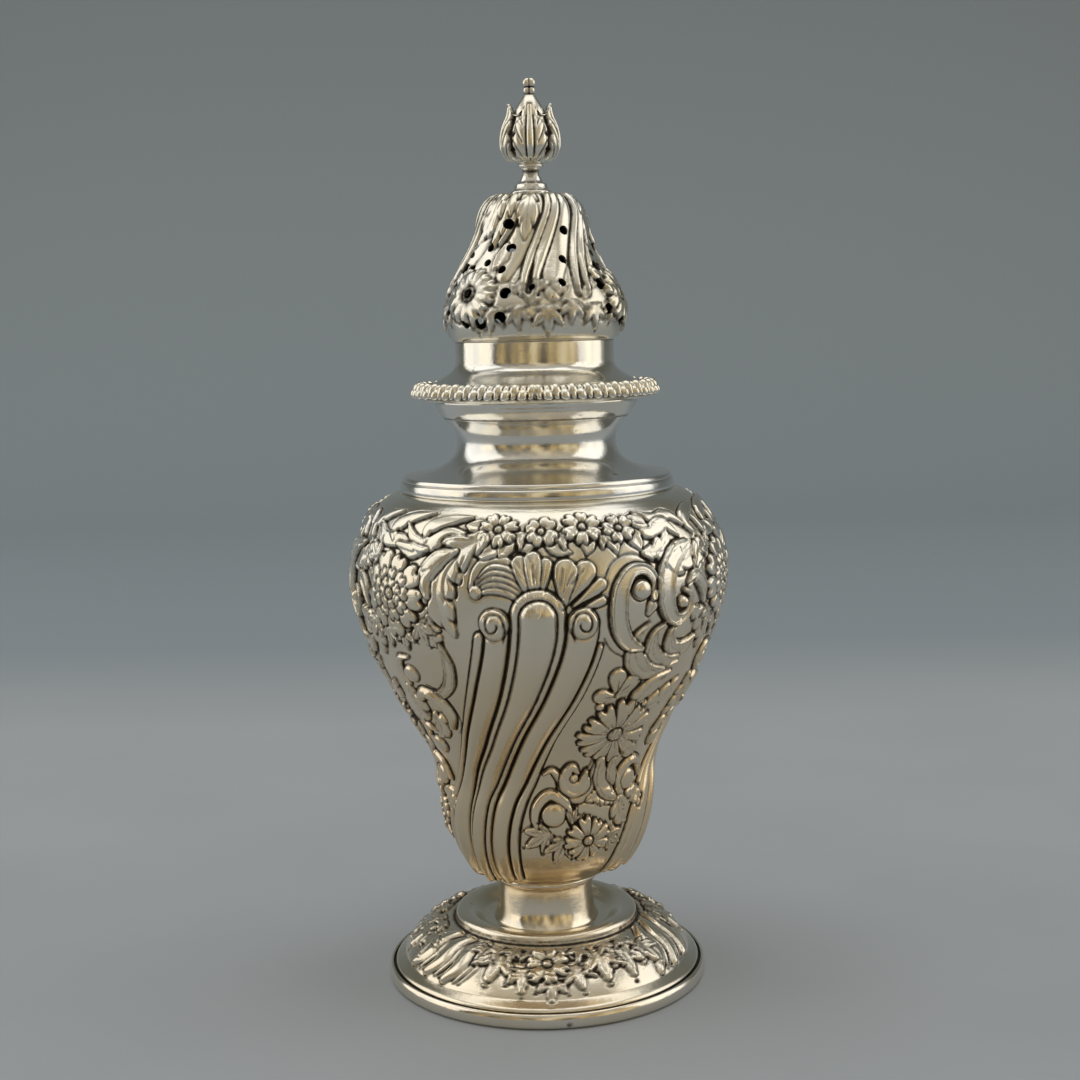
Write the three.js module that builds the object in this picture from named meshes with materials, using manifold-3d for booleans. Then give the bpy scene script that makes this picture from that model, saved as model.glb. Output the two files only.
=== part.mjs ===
// A silver sugar caster of baluster form: an embossed vase on a domed foot, with a pierced
// pull-off cover. Millimetres, +Z up. The foot stands on z = 0 and the front faces -Y.

import * as THREE from 'three';
import { mergeVertices } from 'three/addons/utils/BufferGeometryUtils.js';
import Module from 'manifold-3d';

const wasm = await Module();
wasm.setup();

// Metal and fits
const sheet = 0.8;                // wall of the raised and spun silver
const slip = 0.3;                 // clearance round the sleeve that holds the cover on
const repeats = 3;                // times that the chased pattern goes round the caster

// Foot
const rimRadius = 36.2;           // widest part of the wire round the foot
const rimHeight = 3.7;
const rimWidth = 2.8;
const rimSeat = 3.2;              // height of the ledge that carries the foot's sheet
const bandRadius = 34.7;          // outer edge of the plain band
const chasedRadius = 32.4;        // where the plain band ends and the chasing starts
const chasedHeight = 5.2;
const coneRadius = 21.4;          // top of the chased cone
const coneHeight = 12.9;
const stepRadius = 20.6;          // raised moulding round the dish
const stepHeight = 14.9;
const dishHeight = 12.7;          // floor of the dish in which the stem stands
const dishHole = 10.4;
const footLobes = 14;             // strands and leaves in each third of the foot
const footLean = 8;               // degrees that they lean
const footRelief = 0.8;

// Stem
const stemFoot = 12.0;
const stemWaist = 10.6;
const stemHeight = 9.4;
const ringRadius = 11.8;          // wire between stem and vase
const ringHeight = 1.4;

// Vase
const vaseFoot = 11.6;            // flat under the vase
const bowlRadius = 23.4;          // lower bulb of the baluster
const bowlRise = 22.5;            // height of that bulb over the flat
const bellyRadius = 41.2;
const bellyRise = 68.5;
const mouthRadius = 30.2;
const mouthRise = 87.4;
const seatWidth = 2.2;            // flat round the mouth that carries the shoulder band
const fluteHigh = 70.9;           // where the middle flute's arch ends, over the flat
const fluteLow = 2.4;
const fluteRelief = 1.3;
const fluteSwirl = 41;            // degrees that the flutes turn on their way down
const swirlHigh = 66.5;           // where they start to turn
const swirlReach = 60;            // height over which they turn
const formDish = 0.5;             // how far the middle of a flower or scroll is sunk

// Shoulder and neck
const shoulderRadius = mouthRadius + 0.1;
const shoulderHeight = 2.4;
const neckFoot = shoulderRadius - 0.4;
const neckWaist = 17.6;
const neckWaistRise = 8.5;
const neckTop = 20.4;
const neckHeight = 13.6;
const lipRadius = 22.6;
const lipHeight = 4.0;

// Cover
const sleeveDepth = 10;           // how far the sleeve reaches into the neck
const sleeveWall = 0.7;
const flangeHeight = 0.8;
const borderRadius = 27.2;
const borderHeight = 4.2;
const borderLobes = 46;
const borderRelief = 0.9;
const borderSeat = 2.5;           // height of the ledge that carries the collar
const borderStep = 25.0;          // where the border overhangs the flange
const collarFlare = 23.4;
const collarWaist = 17.5;
const collarHeight = 9.3;
const domeFoot = 17.5;
const domeBulge = 19.7;
const domeBulgeRise = 5.8;
const domeWaist = 12.1;
const domeWaistRise = 23;
const domeCrown = 8.6;
const domeHeight = 31.6;
const domeRelief = 0.5;
const domeSwirl = 24;
const domeStrands = 9;            // groups of fine strands round the dome
const pierceRadius = 0.95;
const pierceSides = 6;

// Finial
const pinRadius = 1.2;            // pin that goes through the crown of the dome
const colletRadius = 4.7;
const colletHeight = 5.7;
const budNeck = 2.7;
const budRadius = 6.5;
const budHeight = 13.6;
const budRelief = 1.3;
const leaves = 4;
const knobRadius = 1.6;
const knobHeight = 5.5;

// Facets round the plain pieces and round the chased ones
const plainFacets = 32;
const smallFacets = 16;
const domeFacets = 27;            // round the strands of the dome
const bulgeFacets = 24;           // round its smooth lower bulge

const radians = THREE.MathUtils.degToRad;
const lerp = THREE.MathUtils.lerp;
const smoothstep = THREE.MathUtils.smoothstep;
const v2 = (radius, height) => new THREE.Vector2(radius, height);

// A point at a distance from the axis, turned round from the front of the caster.
const at = (radius, turn, height) =>
  new THREE.Vector3(radius * Math.sin(turn), -radius * Math.cos(turn), height);

// Evenly spaced shares of a full turn, from 0 up to but not including 1.
const even = (count) => Array.from({ length: count }, (_, i) => i / count);

// A belt of triangles between two rings, whatever their counts of points.
function belt(faces, lower, upper) {
  const shares = (ring) => ring.points.length > 1 ? [...ring.shares, 1] : [0];
  const a = shares(lower);
  const b = shares(upper);
  const pointOf = (ring, i) => ring.first + i % ring.points.length;
  let i = 0;
  let j = 0;
  while (i < a.length - 1 || j < b.length - 1) {
    const stepLower = j === b.length - 1 || (i < a.length - 1 && a[i + 1] <= b[j + 1]);
    const from = [pointOf(lower, i), pointOf(upper, j)];
    if (stepLower) faces.push(from[0], pointOf(lower, ++i), from[1]);
    else faces.push(from[0], pointOf(upper, ++j), from[1]);
  }
}

// A closed skin over rings that follow the outline of the metal. It starts and ends at a point
// on the axis, or the last ring joins the first.
function loft(rings) {
  const points = [];
  const faces = [];
  for (const ring of rings) {
    ring.first = points.length;
    points.push(...ring.points);
  }
  const hollow = rings[0].points.length > 1;
  const belts = hollow ? rings.length : rings.length - 1;
  for (let k = 0; k < belts; k++) belt(faces, rings[k], rings[(k + 1) % rings.length]);
  const geometry = new THREE.BufferGeometry().setFromPoints(points);
  geometry.setIndex(faces);
  return geometry;
}

// One ring of a skin: every share of the turn becomes a point given by place(turn).
const ring = (shares, place) =>
  ({ shares, points: shares.map((share) => place(share * 2 * Math.PI)) });
const roundRing = (facets, point) => ring(even(facets), (turn) => at(point.x, turn, point.y));
const pole = (height) => ({ shares: [0], points: [at(0, 0, height)] });

// A plain spun or turned piece from its closed outline, outer side upwards first.
function spun(outline, facets = plainFacets) {
  return new THREE.LatheGeometry([...outline, outline[0]], facets).rotateX(Math.PI / 2);
}

// Points along curves that follow each other, without the doubled point at each joint.
function trace(...stretches) {
  return stretches.flatMap(([curve, steps], k) => curve.getPoints(steps).slice(k ? 1 : 0));
}

const bend = (...points) => new THREE.CubicBezierCurve(...points);

// Directions that point out of the metal along an outline drawn upwards.
function outward(outline) {
  return outline.map((point, i) => {
    const before = outline[Math.max(i - 1, 0)];
    const after = outline[Math.min(i + 1, outline.length - 1)];
    const along = after.clone().sub(before).normalize();
    return v2(along.y, -along.x);
  });
}

// The inner side of a wall, from the top down. Its ends are cut level, or upright where the
// outline ends nearly flat.
function innerSide(outline, wall) {
  const out = outward(outline);
  const last = outline.length - 1;
  return outline.map((point, i) => {
    if (i > 0 && i < last) return point.clone().addScaledVector(out[i], -wall);
    if (out[i].x > 0.35) return v2(point.x - wall / out[i].x, point.y);
    return v2(point.x, point.y - wall / out[i].y);
  }).reverse();
}

// A spun wall of even thickness: its outer side as drawn, its inner side from fewer points.
const spunWall = (outer, inner) => spun([...outer, ...innerSide(inner, sheet)]);

// Heights at which the pieces meet, from the table up
const stemFloor = dishHeight;
const ringFloor = stemFloor + stemHeight;
const vaseFloor = ringFloor + ringHeight;
const shoulderFloor = vaseFloor + mouthRise;
const neckFloor = shoulderFloor + shoulderHeight;
const lipFloor = neckFloor + neckHeight;
const coverFloor = lipFloor + lipHeight;
const borderFloor = coverFloor + flangeHeight;
const collarFloor = borderFloor + borderSeat;
const domeFloor = collarFloor + collarHeight;
const colletFloor = domeFloor + domeHeight;
const budFloor = colletFloor + colletHeight;
const knobFloor = budFloor + budHeight;

// Foot: a wire rim, the chased dome with its dish, and the waisted stem

function footRim() {
  const inner = rimRadius - rimWidth;
  const bulge = bend(v2(rimRadius - 0.9, 0), v2(rimRadius + 0.3, rimHeight * 0.3),
    v2(rimRadius + 0.3, rimHeight * 0.75), v2(rimRadius - 0.6, rimHeight));
  const ledge = bandRadius + slip;
  return spun([...trace([bulge, 4]), v2(ledge, rimHeight), v2(ledge, rimSeat), v2(inner, rimSeat),
    v2(inner, 0)]);
}

// A smooth bump that is 1 in the middle and 0 at the edges of a share from 0 to 1.
const lobe = (share) => Math.sqrt(Math.max(0, Math.sin(Math.PI * share)));

// Leaning strands and leaves on the cone of the foot: lower near its plain edges.
function footChasing(turn, climb) {
  const crest = Math.abs(Math.sin(footLobes * repeats * turn / 2));
  return footRelief * crest * smoothstep(climb, 0, 0.2) * (1 - smoothstep(climb, 0.85, 1));
}

function footDome() {
  const onCone = (inwards, up) =>
    v2(lerp(chasedRadius, coneRadius, inwards), lerp(chasedHeight, coneHeight, up));
  const cone = bend(onCone(0, 0), onCone(0.15, 0.36), onCone(0.56, 0.88), onCone(1, 1));
  const coneSteps = 4;
  const chased = cone.getPoints(coneSteps);
  const band = [v2(bandRadius, rimSeat), v2(bandRadius, rimSeat + 0.5)].map(
    (point) => roundRing(plainFacets, point));
  const carved = chased.map((point, k) => ring(even(2 * footLobes * repeats), (turn) => {
    const climb = k / coneSteps;
    const raised = footChasing(turn, climb);
    return at(point.x + raised * 0.4, turn + radians(footLean) * climb, point.y + raised * 0.9);
  }));
  const step = bend(v2(stepRadius - 0.3, coneHeight + 0.5), v2(stepRadius + 0.3, coneHeight + 1.2),
    v2(stepRadius + 0.3, stepHeight), v2(stepRadius - 1.1, stepHeight));
  const dish = bend(v2(stepRadius - 2.2, stepHeight - 0.9), v2(stepRadius - 4.2, dishHeight + 0.4),
    v2(stemFoot + 3.2, dishHeight), v2(stemFoot + 1.6, dishHeight));
  const lap = v2(dishHole, dishHeight);
  const under = [v2(dishHole, dishHeight - sheet), v2(stepRadius - 0.6, coneHeight - 1.2 * sheet),
    v2(lerp(chasedRadius, coneRadius, 0.55), chasedHeight + 4.2), v2(chasedRadius, chasedHeight - sheet),
    v2(bandRadius - 1.2, rimSeat)];
  const plain = [...trace([step, 2], [dish, 2]), lap, ...under];
  return loft([...band, ...carved, ...plain.map((point) => roundRing(plainFacets, point))]);
}

function footStem() {
  const side = bend(v2(stemFoot, stemFloor), v2(stemWaist, stemFloor + 2),
    v2(stemWaist - 0.4, ringFloor - 2.4), v2(stemWaist + 0.5, ringFloor));
  return spunWall(trace([side, 4]), trace([side, 2]));
}

function bowlRing() {
  const inner = stemWaist - sheet;
  const bead = bend(v2(stemWaist + 0.7, ringFloor), v2(ringRadius + 0.4, ringFloor + 0.3),
    v2(ringRadius + 0.4, vaseFloor - 0.3), v2(vaseFoot, vaseFloor));
  return spun([...trace([bead, 3]), v2(inner, vaseFloor), v2(inner, ringFloor)]);
}

// Vase: lower bulb, belly and mouth in one raised wall, closed below

const flutes = [                  // width in degrees, facets, drop of the top under the arch
  { width: 3.6, facets: 2, drop: 10 },
  { width: 8.4, facets: 3, drop: 6.5 },
  { width: 16.4, facets: 6, drop: 0 },
  { width: 9.8, facets: 3, drop: 6.5 },
  { width: 3.6, facets: 2, drop: 12.5 },
];
const forms = [                   // degrees from the middle flute, rise over the flat, radius, relief
  [-48, 69, 9, 1.9],              // large flower
  [-29, 71, 7, 1.3],              // falling leaf beside it
  [-32, 52, 5.5, 1.0],
  [-44, 44, 6, 1.2],              // scrolls under the large flower
  [-9, 75, 5.5, 1.1],             // palmette over the arch
  [9, 75, 5.5, 1.1],
  [-13, 83, 4.5, 1.0],            // garland
  [1, 83, 4.5, 1.0],
  [15, 83, 4.5, 1.0],
  [25.5, 67, 8, 1.6],             // first scroll
  [44.5, 67, 8.5, 1.7],           // second scroll
  [37, 55, 6.5, 1.2],             // leaves under the scrolls
  [31, 37.5, 8, 1.5],             // daisy
  [14, 27, 5, 1.2],               // rolled leaves
  [49, 25.5, 5, 1.2],
  [4, 17, 5.5, 1.1],
  [25, 13.5, 5.5, 1.3],           // lower flower
];
const groundFacets = 14;          // facets between two fluted panels
const flutedWidth = flutes.reduce((sum, flute) => sum + flute.width, 0);

// Shares of the turn at which the vase has points: close over the flutes, wider between them.
function vaseShares() {
  const panel = [];
  let edge = 0;
  for (const flute of flutes) {
    for (let i = 0; i < flute.facets; i++) panel.push(edge + flute.width * i / flute.facets);
    edge += flute.width;
  }
  const ground = 360 / repeats - flutedWidth;
  for (let i = 0; i < groundFacets; i++) panel.push(edge + ground * i / groundFacets);
  return even(repeats).flatMap((start) => panel.map((turn) => start + turn / 360));
}

// How far the flutes have turned at a height over the flat.
const swirl = (rise) => -radians(fluteSwirl) * smoothstep(swirlHigh - rise, 0, swirlReach) ** 1.2
  - radians(flutedWidth / 2);

// Raised height of the flutes, for a turn measured before they swirl.
function fluteHeight(turn, rise) {
  let local = THREE.MathUtils.euclideanModulo(THREE.MathUtils.radToDeg(turn), 360 / repeats);
  for (const flute of flutes) {
    if (local < flute.width) {
      const top = smoothstep(fluteHigh - flute.drop - rise, 0, 4);
      return fluteRelief * lobe(local / flute.width) * top * smoothstep(rise, fluteLow, fluteLow + 5);
    }
    local -= flute.width;
  }
  return 0;
}

// Raised height of flowers, leaves and scrolls: low domes with a dished middle. Girth is the radius
// of the vase at that height.
function formHeight(turn, rise, girth) {
  const step = 2 * Math.PI / repeats;
  return Math.max(...forms.map(([place, height, radius, relief]) => {
    const away = THREE.MathUtils.euclideanModulo(turn - radians(place) + step / 2, step) - step / 2;
    const reach = Math.min(1, Math.hypot(away * girth, rise - height) / radius);
    return relief * (1 - reach ** 4) * (1 - formDish * (1 - reach) ** 2);
  }));
}

function vaseBody() {
  const bowl = bend(v2(vaseFoot, vaseFloor), v2(vaseFoot + 6, vaseFloor + 0.4),
    v2(bowlRadius, vaseFloor + bowlRise - 13.5), v2(bowlRadius, vaseFloor + bowlRise));
  const swell = bend(v2(bowlRadius, vaseFloor + bowlRise), v2(bowlRadius, vaseFloor + bowlRise + 12),
    v2(bellyRadius, vaseFloor + bellyRise - 20), v2(bellyRadius, vaseFloor + bellyRise));
  const shoulder = new THREE.EllipseCurve(mouthRadius, vaseFloor + bellyRise,
    bellyRadius - mouthRadius, mouthRise - bellyRise, 0, Math.PI / 2);
  const outline = trace([bowl, 5], [swell, 10], [shoulder, 6]);
  const out = outward(outline);
  const shares = vaseShares();
  const fade = (rise) => 1 - smoothstep(rise, mouthRise - 4, mouthRise - 1);
  const outer = outline.map((point, k) => ring(shares, (turn) => {
    const rise = point.y - vaseFloor;
    const place = turn + swirl(rise);
    const raised = Math.max(fluteHeight(turn, rise), formHeight(place, rise, point.x) * fade(rise));
    return at(point.x + raised * out[k].x, place, point.y + raised * out[k].y);
  }));
  const twisted = (point) => ring(even(plainFacets), (turn) =>
    at(point.x, turn + swirl(point.y - vaseFloor), point.y));
  const seat = mouthRadius - seatWidth;
  const inside = innerSide(trace([bowl, 3], [swell, 4], [shoulder, 3]), sheet).slice(1, -1);
  return loft([pole(vaseFloor), ...outer,
    ...[v2(seat, shoulderFloor), v2(seat, shoulderFloor - sheet), ...inside,
      v2(vaseFoot - sheet, vaseFloor + sheet)].map(twisted),
    pole(vaseFloor + sheet)]);
}

// Shoulder, neck and lip: plain spun work between the vase and the cover

function shoulderBand() {
  const inner = mouthRadius - seatWidth;
  const edge = bend(v2(shoulderRadius - 0.5, shoulderFloor), v2(shoulderRadius, shoulderFloor + 0.4),
    v2(shoulderRadius, neckFloor - 0.6), v2(shoulderRadius - 0.2, neckFloor));
  return spun([...trace([edge, 3]), v2(inner, neckFloor), v2(inner, shoulderFloor)]);
}

function neck() {
  const waist = v2(neckWaist, neckFloor + neckWaistRise);
  const skirt = new THREE.LineCurve(v2(neckFoot, neckFloor), v2(neckFoot, neckFloor + 0.6));
  const flare = bend(v2(neckFoot - 0.4, neckFloor + 1.1), v2(22.5, neckFloor + 1.9),
    v2(neckWaist, neckFloor + 3.4), waist);
  const rise = bend(waist, v2(neckWaist, lipFloor - 2.6), v2(neckWaist + 1.2, lipFloor - 1.2),
    v2(neckTop, lipFloor));
  const outline = (flareSteps, riseSteps) =>
    [...trace([skirt, 1]), ...trace([flare, flareSteps], [rise, riseSteps])];
  return spunWall(outline(4, 3), outline(2, 2));
}

function neckLip() {
  const bore = neckTop - sheet - 0.4;
  return spun([v2(neckTop, lipFloor), v2(lipRadius - 1.8, lipFloor + 0.5),
    v2(lipRadius - 0.6, coverFloor - 1.5), v2(lipRadius, coverFloor - 0.6), v2(lipRadius - 0.2, coverFloor),
    v2(bore, coverFloor), v2(bore, lipFloor)]);
}

// Cover: sleeve, gadrooned border, plain collar, pierced dome

const sleeveRadius = neckWaist - sheet - slip;

function coverSleeve() {
  const inner = sleeveRadius - sleeveWall;
  const rim = borderStep - 0.2;
  return spun([v2(sleeveRadius, coverFloor - sleeveDepth), v2(sleeveRadius, coverFloor),
    v2(rim, coverFloor), v2(rim, borderFloor), v2(inner, borderFloor),
    v2(inner, coverFloor - sleeveDepth)]);
}

// A cast border of lobes that lean round the edge, on a plain inner ledge.
function gadroonBorder() {
  const inner = collarFlare - 1.6;
  const top = coverFloor + borderHeight;
  const seat = collarFloor;
  const bulge = bend(v2(borderStep, coverFloor), v2(borderRadius + 0.6, coverFloor + 0.2),
    v2(borderRadius + 0.5, top - 0.6), v2(collarFlare + 1, top));
  const steps = 4;
  const facets = 2 * borderLobes;
  const lean = 2 * Math.PI / borderLobes;
  const lobed = bulge.getPoints(steps).map((point, k) => ring(even(facets), (turn) => {
    const groove = (1 - Math.abs(Math.sin(turn * borderLobes / 2))) * Math.sin(Math.PI * k / steps);
    return at(point.x - borderRelief * groove, turn + lean * k / steps, point.y);
  }));
  const ledge = [v2(collarFlare + slip, top - 0.3), v2(collarFlare + slip, seat), v2(inner, seat),
    v2(inner, borderFloor), v2(borderStep, borderFloor)];
  return loft([...lobed, ...ledge.map((point) => roundRing(plainFacets, point))]);
}

function coverCollar() {
  const flare = bend(v2(collarFlare, collarFloor), v2(collarFlare - 2.6, collarFloor + 1.5),
    v2(collarWaist, collarFloor + 2.6), v2(collarWaist, collarFloor + 5));
  const upright = new THREE.LineCurve(v2(collarWaist, collarFloor + 5), v2(collarWaist, domeFloor));
  return spunWall(trace([flare, 4], [upright, 1]), trace([flare, 2], [upright, 1]));
}

// Strands in groups that swirl down the upper part of the dome.
function domeChasing(turn, rise) {
  const strand = Math.max(0, Math.cos(domeStrands * turn)) ** 0.5;
  const spread = smoothstep(rise, domeBulgeRise + 3, domeBulgeRise + 7);
  return domeRelief * strand * spread * (1 - smoothstep(rise, domeHeight - 2.5, domeHeight - 1));
}

const domeTwist = (rise) => -radians(domeSwirl) * (1 - rise / domeHeight);

// Heights over the rim of the dome and, for each, turns in degrees at which it is pierced.
const piercing = [
  { rise: 24.6, turns: [-23, 30] },
  { rise: 19.6, turns: [-41, -18, 60] },
  { rise: 15.8, turns: [-55, -38, -22, 24, 56] },
  { rise: 10.4, turns: [-44, -18, -1, 20, 52] },
  { rise: 4.4, turns: [-49, -34, -20, 54] },
];

const domeCurves = () => {
  const bulge = v2(domeBulge, domeFloor + domeBulgeRise);
  const waist = v2(domeWaist, domeFloor + domeWaistRise);
  return [
    bend(v2(domeFoot, domeFloor), v2(domeFoot + 1.5, domeFloor + 0.8), v2(domeBulge, domeFloor + 2.9),
      bulge),
    bend(bulge, v2(domeBulge, domeFloor + 10.1), v2(domeWaist + 1.1, domeFloor + domeWaistRise - 5.5),
      waist),
    bend(waist, v2(domeWaist - 0.7, domeFloor + domeWaistRise + 3.5), v2(domeWaist - 0.8, colletFloor - 1),
      v2(domeCrown, colletFloor - 0.7)),
    bend(v2(domeCrown, colletFloor - 0.7), v2(domeCrown - 1.2, colletFloor - 0.3),
      v2(colletRadius + 1.4, colletFloor), v2(colletRadius, colletFloor)),
  ];
};

function solidOf(geometry) {
  geometry.deleteAttribute('normal');
  geometry.deleteAttribute('uv');
  const merged = mergeVertices(geometry, 1e-3);
  return new wasm.Manifold(new wasm.Mesh({ numProp: 3,
    vertProperties: merged.attributes.position.array, triVerts: Uint32Array.from(merged.index.array) }));
}

function geometryOf(solid) {
  const mesh = solid.getMesh();
  const geometry = new THREE.BufferGeometry();
  geometry.setAttribute('position', new THREE.BufferAttribute(mesh.vertProperties, 3));
  geometry.setIndex(new THREE.BufferAttribute(mesh.triVerts, 1));
  return geometry;
}

// A round punch that goes through the wall of the dome, square to its surface.
function punch(side, rise, turn) {
  const height = domeFloor + rise;
  const k = side.findIndex((point) => point.y > height);
  const share = (height - side[k - 1].y) / (side[k].y - side[k - 1].y);
  const radius = lerp(side[k - 1].x, side[k].x, share);
  const along = side[k].clone().sub(side[k - 1]).normalize();
  const reach = 2 * (sheet + domeRelief);
  const out = at(along.y, turn, -along.x);
  const place = new THREE.Quaternion().setFromUnitVectors(new THREE.Vector3(0, 1, 0), out);
  const pin = new THREE.CylinderGeometry(pierceRadius, pierceRadius, 2 * reach, pierceSides);
  return pin.applyQuaternion(place).translate(...at(radius, turn, height).toArray());
}

function coverDome() {
  const [foot, bell, shoulder, crown] = domeCurves();
  const outline = trace([foot, 2], [bell, 5], [shoulder, 3], [crown, 1]);
  const out = outward(outline);
  const outer = outline.map((point, k) => {
    const rise = point.y - domeFloor;
    return ring(even(rise < domeBulgeRise + 3 ? bulgeFacets : domeFacets), (turn) => {
      const raised = domeChasing(turn, rise);
      return at(point.x + raised * out[k].x, turn + domeTwist(rise), point.y + raised * out[k].y);
    });
  });
  const twisted = (point) => ring(even(bulgeFacets), (turn) =>
    at(point.x, turn + domeTwist(point.y - domeFloor), point.y));
  const hole = pinRadius + slip;
  const inner = [v2(hole, colletFloor), v2(hole, colletFloor - sheet),
    ...innerSide(trace([foot, 2], [bell, 3], [shoulder, 2], [crown, 1]), sheet)];
  let dome = solidOf(loft([...outer, ...inner.map(twisted)]));
  for (const { rise, turns } of piercing) {
    for (const turn of turns) {
      for (let panel = 0; panel < repeats; panel++) {
        const place = radians(turn + 360 * panel / repeats);
        dome = dome.subtract(solidOf(punch(outline, rise, place)));
      }
    }
  }
  return geometryOf(dome);
}

// Finial: a stepped collet with the pin that fixes it, and a cast bud of acanthus leaves

function finialCollet() {
  const neckRadius = 1.8;
  const pinEnd = colletFloor - 3;
  return spun([v2(0, pinEnd), v2(pinRadius, pinEnd), v2(pinRadius, colletFloor),
    v2(colletRadius, colletFloor), v2(colletRadius - 0.4, colletFloor + 0.9), v2(3.6, colletFloor + 1.4),
    v2(3.4, colletFloor + 2.1), v2(2.5, colletFloor + 2.6), v2(2.3, colletFloor + 3.4),
    v2(neckRadius, colletFloor + 4.1), v2(neckRadius, budFloor - 0.6), v2(budNeck - 0.3, budFloor),
    v2(0, budFloor)], smallFacets);
}

function finialBud() {
  const facets = 40;
  const height = (share) => budFloor + budHeight * share;
  // Leaves stand out from the bud, with a groove between two leaves and a sunk midrib.
  const leafy = (turn) => {
    const share = THREE.MathUtils.euclideanModulo(turn * leaves / (2 * Math.PI) + 0.5, 1);
    return lobe(share) - 0.25 * Math.exp(-((share - 0.5) ** 2) / 0.002);
  };
  const leafRing = (share, radius, depth, climb = 0) => ring(even(facets), (turn) =>
    at(radius - depth * (1 - leafy(turn)), turn, height(share) + climb * (leafy(turn) - 1)));
  const plainRing = (radius, z, count = 16) => roundRing(count, v2(radius, z));
  const knob = (radius, z) => ring(even(16), (turn) =>
    at(radius - 0.35 * (1 - Math.abs(Math.cos(turn))), turn, z));
  return loft([
    pole(budFloor), plainRing(budNeck - 0.3, budFloor), plainRing(budNeck, budFloor + 0.9),
    leafRing(0.14, budRadius * 0.6, 0.3), leafRing(0.26, budRadius * 0.88, budRelief * 0.8),
    leafRing(0.42, budRadius, budRelief), leafRing(0.6, budRadius * 0.97, budRelief * 1.1),
    leafRing(0.8, budRadius * 0.86, budRelief * 1.1, 1), leafRing(0.95, budRadius * 0.82, budRelief, 3),
    leafRing(1.0, budRadius * 0.7, budRelief, 3.4), leafRing(0.94, budRadius * 0.52, 0.2, 2),
    plainRing(budRadius * 0.4, knobFloor + 0.5), plainRing(knobRadius - 0.2, knobFloor + 1.5),
    knob(knobRadius, knobFloor + 2.2), knob(knobRadius - 0.3, knobFloor + 3.1),
    knob(knobRadius, knobFloor + 4.1), knob(knobRadius - 0.4, knobFloor + 5),
    pole(knobFloor + knobHeight),
  ]);
}

// Finishes: polished plain silver, and chased silver with tarnish in its lines

const polished = () => new THREE.MeshStandardMaterial({ color: 0xd9d3c2, metalness: 1, roughness: 0.16 });
const chased = () => new THREE.MeshStandardMaterial({ color: 0xc9c2ae, metalness: 1, roughness: 0.28 });

function piece(name, geometry, material) {
  const mesh = new THREE.Mesh(geometry, material);
  mesh.name = name;
  return mesh;
}

const vessel = new THREE.Group();
vessel.add(
  piece('foot_rim', footRim(), polished()),
  piece('foot_dome', footDome(), chased()),
  piece('foot_stem', footStem(), polished()),
  piece('bowl_ring', bowlRing(), polished()),
  piece('vase_body', vaseBody(), chased()),
  piece('shoulder_band', shoulderBand(), polished()),
  piece('neck', neck(), polished()),
  piece('neck_lip', neckLip(), polished()),
);

const cover = new THREE.Group();
cover.add(
  piece('cover_sleeve', coverSleeve(), polished()),
  piece('gadroon_border', gadroonBorder(), chased()),
  piece('cover_collar', coverCollar(), polished()),
  piece('cover_dome', coverDome(), chased()),
  piece('finial_collet', finialCollet(), polished()),
  piece('finial_bud', finialBud(), chased()),
);

const caster = new THREE.Group();
caster.add(vessel, cover);

export default caster;
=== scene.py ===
# %% [markdown]
# # A silver caster in the rococo-revival taste
#
# The real caster is raised and spun from thin silver sheet. Its vase, cover and foot are embossed from
# inside and then chased from outside with flutes, scrolls and flowers. Oxide is left in the chased lines,
# which is why every form reads dark at its edge and bright on its crown.
#
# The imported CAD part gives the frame, the sizes and the joint. Here each of its parts is worked out again
# as a fine surface, because a faceted solid cannot carry chasing. Sizes of the caster are in millimetres
# until they reach a mesh, and the studio is in metres.

import math

import bpy
import numpy as np
from mathutils import Matrix


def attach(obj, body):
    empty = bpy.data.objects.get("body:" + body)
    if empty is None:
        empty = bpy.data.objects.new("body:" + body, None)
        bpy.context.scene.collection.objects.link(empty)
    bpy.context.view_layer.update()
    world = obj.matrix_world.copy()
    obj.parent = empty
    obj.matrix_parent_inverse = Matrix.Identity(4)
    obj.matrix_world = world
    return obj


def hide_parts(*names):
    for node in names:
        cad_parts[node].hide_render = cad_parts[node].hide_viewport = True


MM = 0.001                         # metres in a millimetre
PANELS = 3                         # the chased pattern goes round the caster three times

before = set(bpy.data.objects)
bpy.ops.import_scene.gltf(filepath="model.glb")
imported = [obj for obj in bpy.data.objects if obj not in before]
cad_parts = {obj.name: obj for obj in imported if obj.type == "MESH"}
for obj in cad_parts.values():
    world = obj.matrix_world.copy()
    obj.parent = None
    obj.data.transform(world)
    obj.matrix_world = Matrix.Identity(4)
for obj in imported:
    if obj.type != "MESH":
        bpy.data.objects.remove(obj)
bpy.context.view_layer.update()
print("CAD parts:", len(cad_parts))

# %% [markdown]
# ## Outlines
#
# A spun part is drawn as half a profile: radius and height. A smooth stretch is a cubic curve between two
# points with two handles, and a corner is softened as the polisher's mop softens it.

# %% Profile helpers
BLUNT = math.radians(25)           # a corner that turns by less than this is left as it is


def curve(start, first, second, end, count=24):
    """Cubic between start and end: each handle pulls by 3t(1-t) times the share still to go or gone."""
    t = np.linspace(0, 1, count)[:, None]
    a, b, c, d = (np.array(p, float) for p in (start, first, second, end))
    return a * (1 - t) ** 3 + 3 * b * t * (1 - t) ** 2 + 3 * c * t ** 2 * (1 - t) + d * t ** 3


def joined(*stretches):
    """The stretches one after another, each without its first point where that repeats the last one."""
    parts = [np.atleast_2d(np.array(s, float)) for s in stretches]
    keep = [parts[0]]
    for part in parts[1:]:
        keep.append(part[1:] if np.allclose(part[0], keep[-1][-1]) else part)
    return np.vstack(keep)


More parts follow.
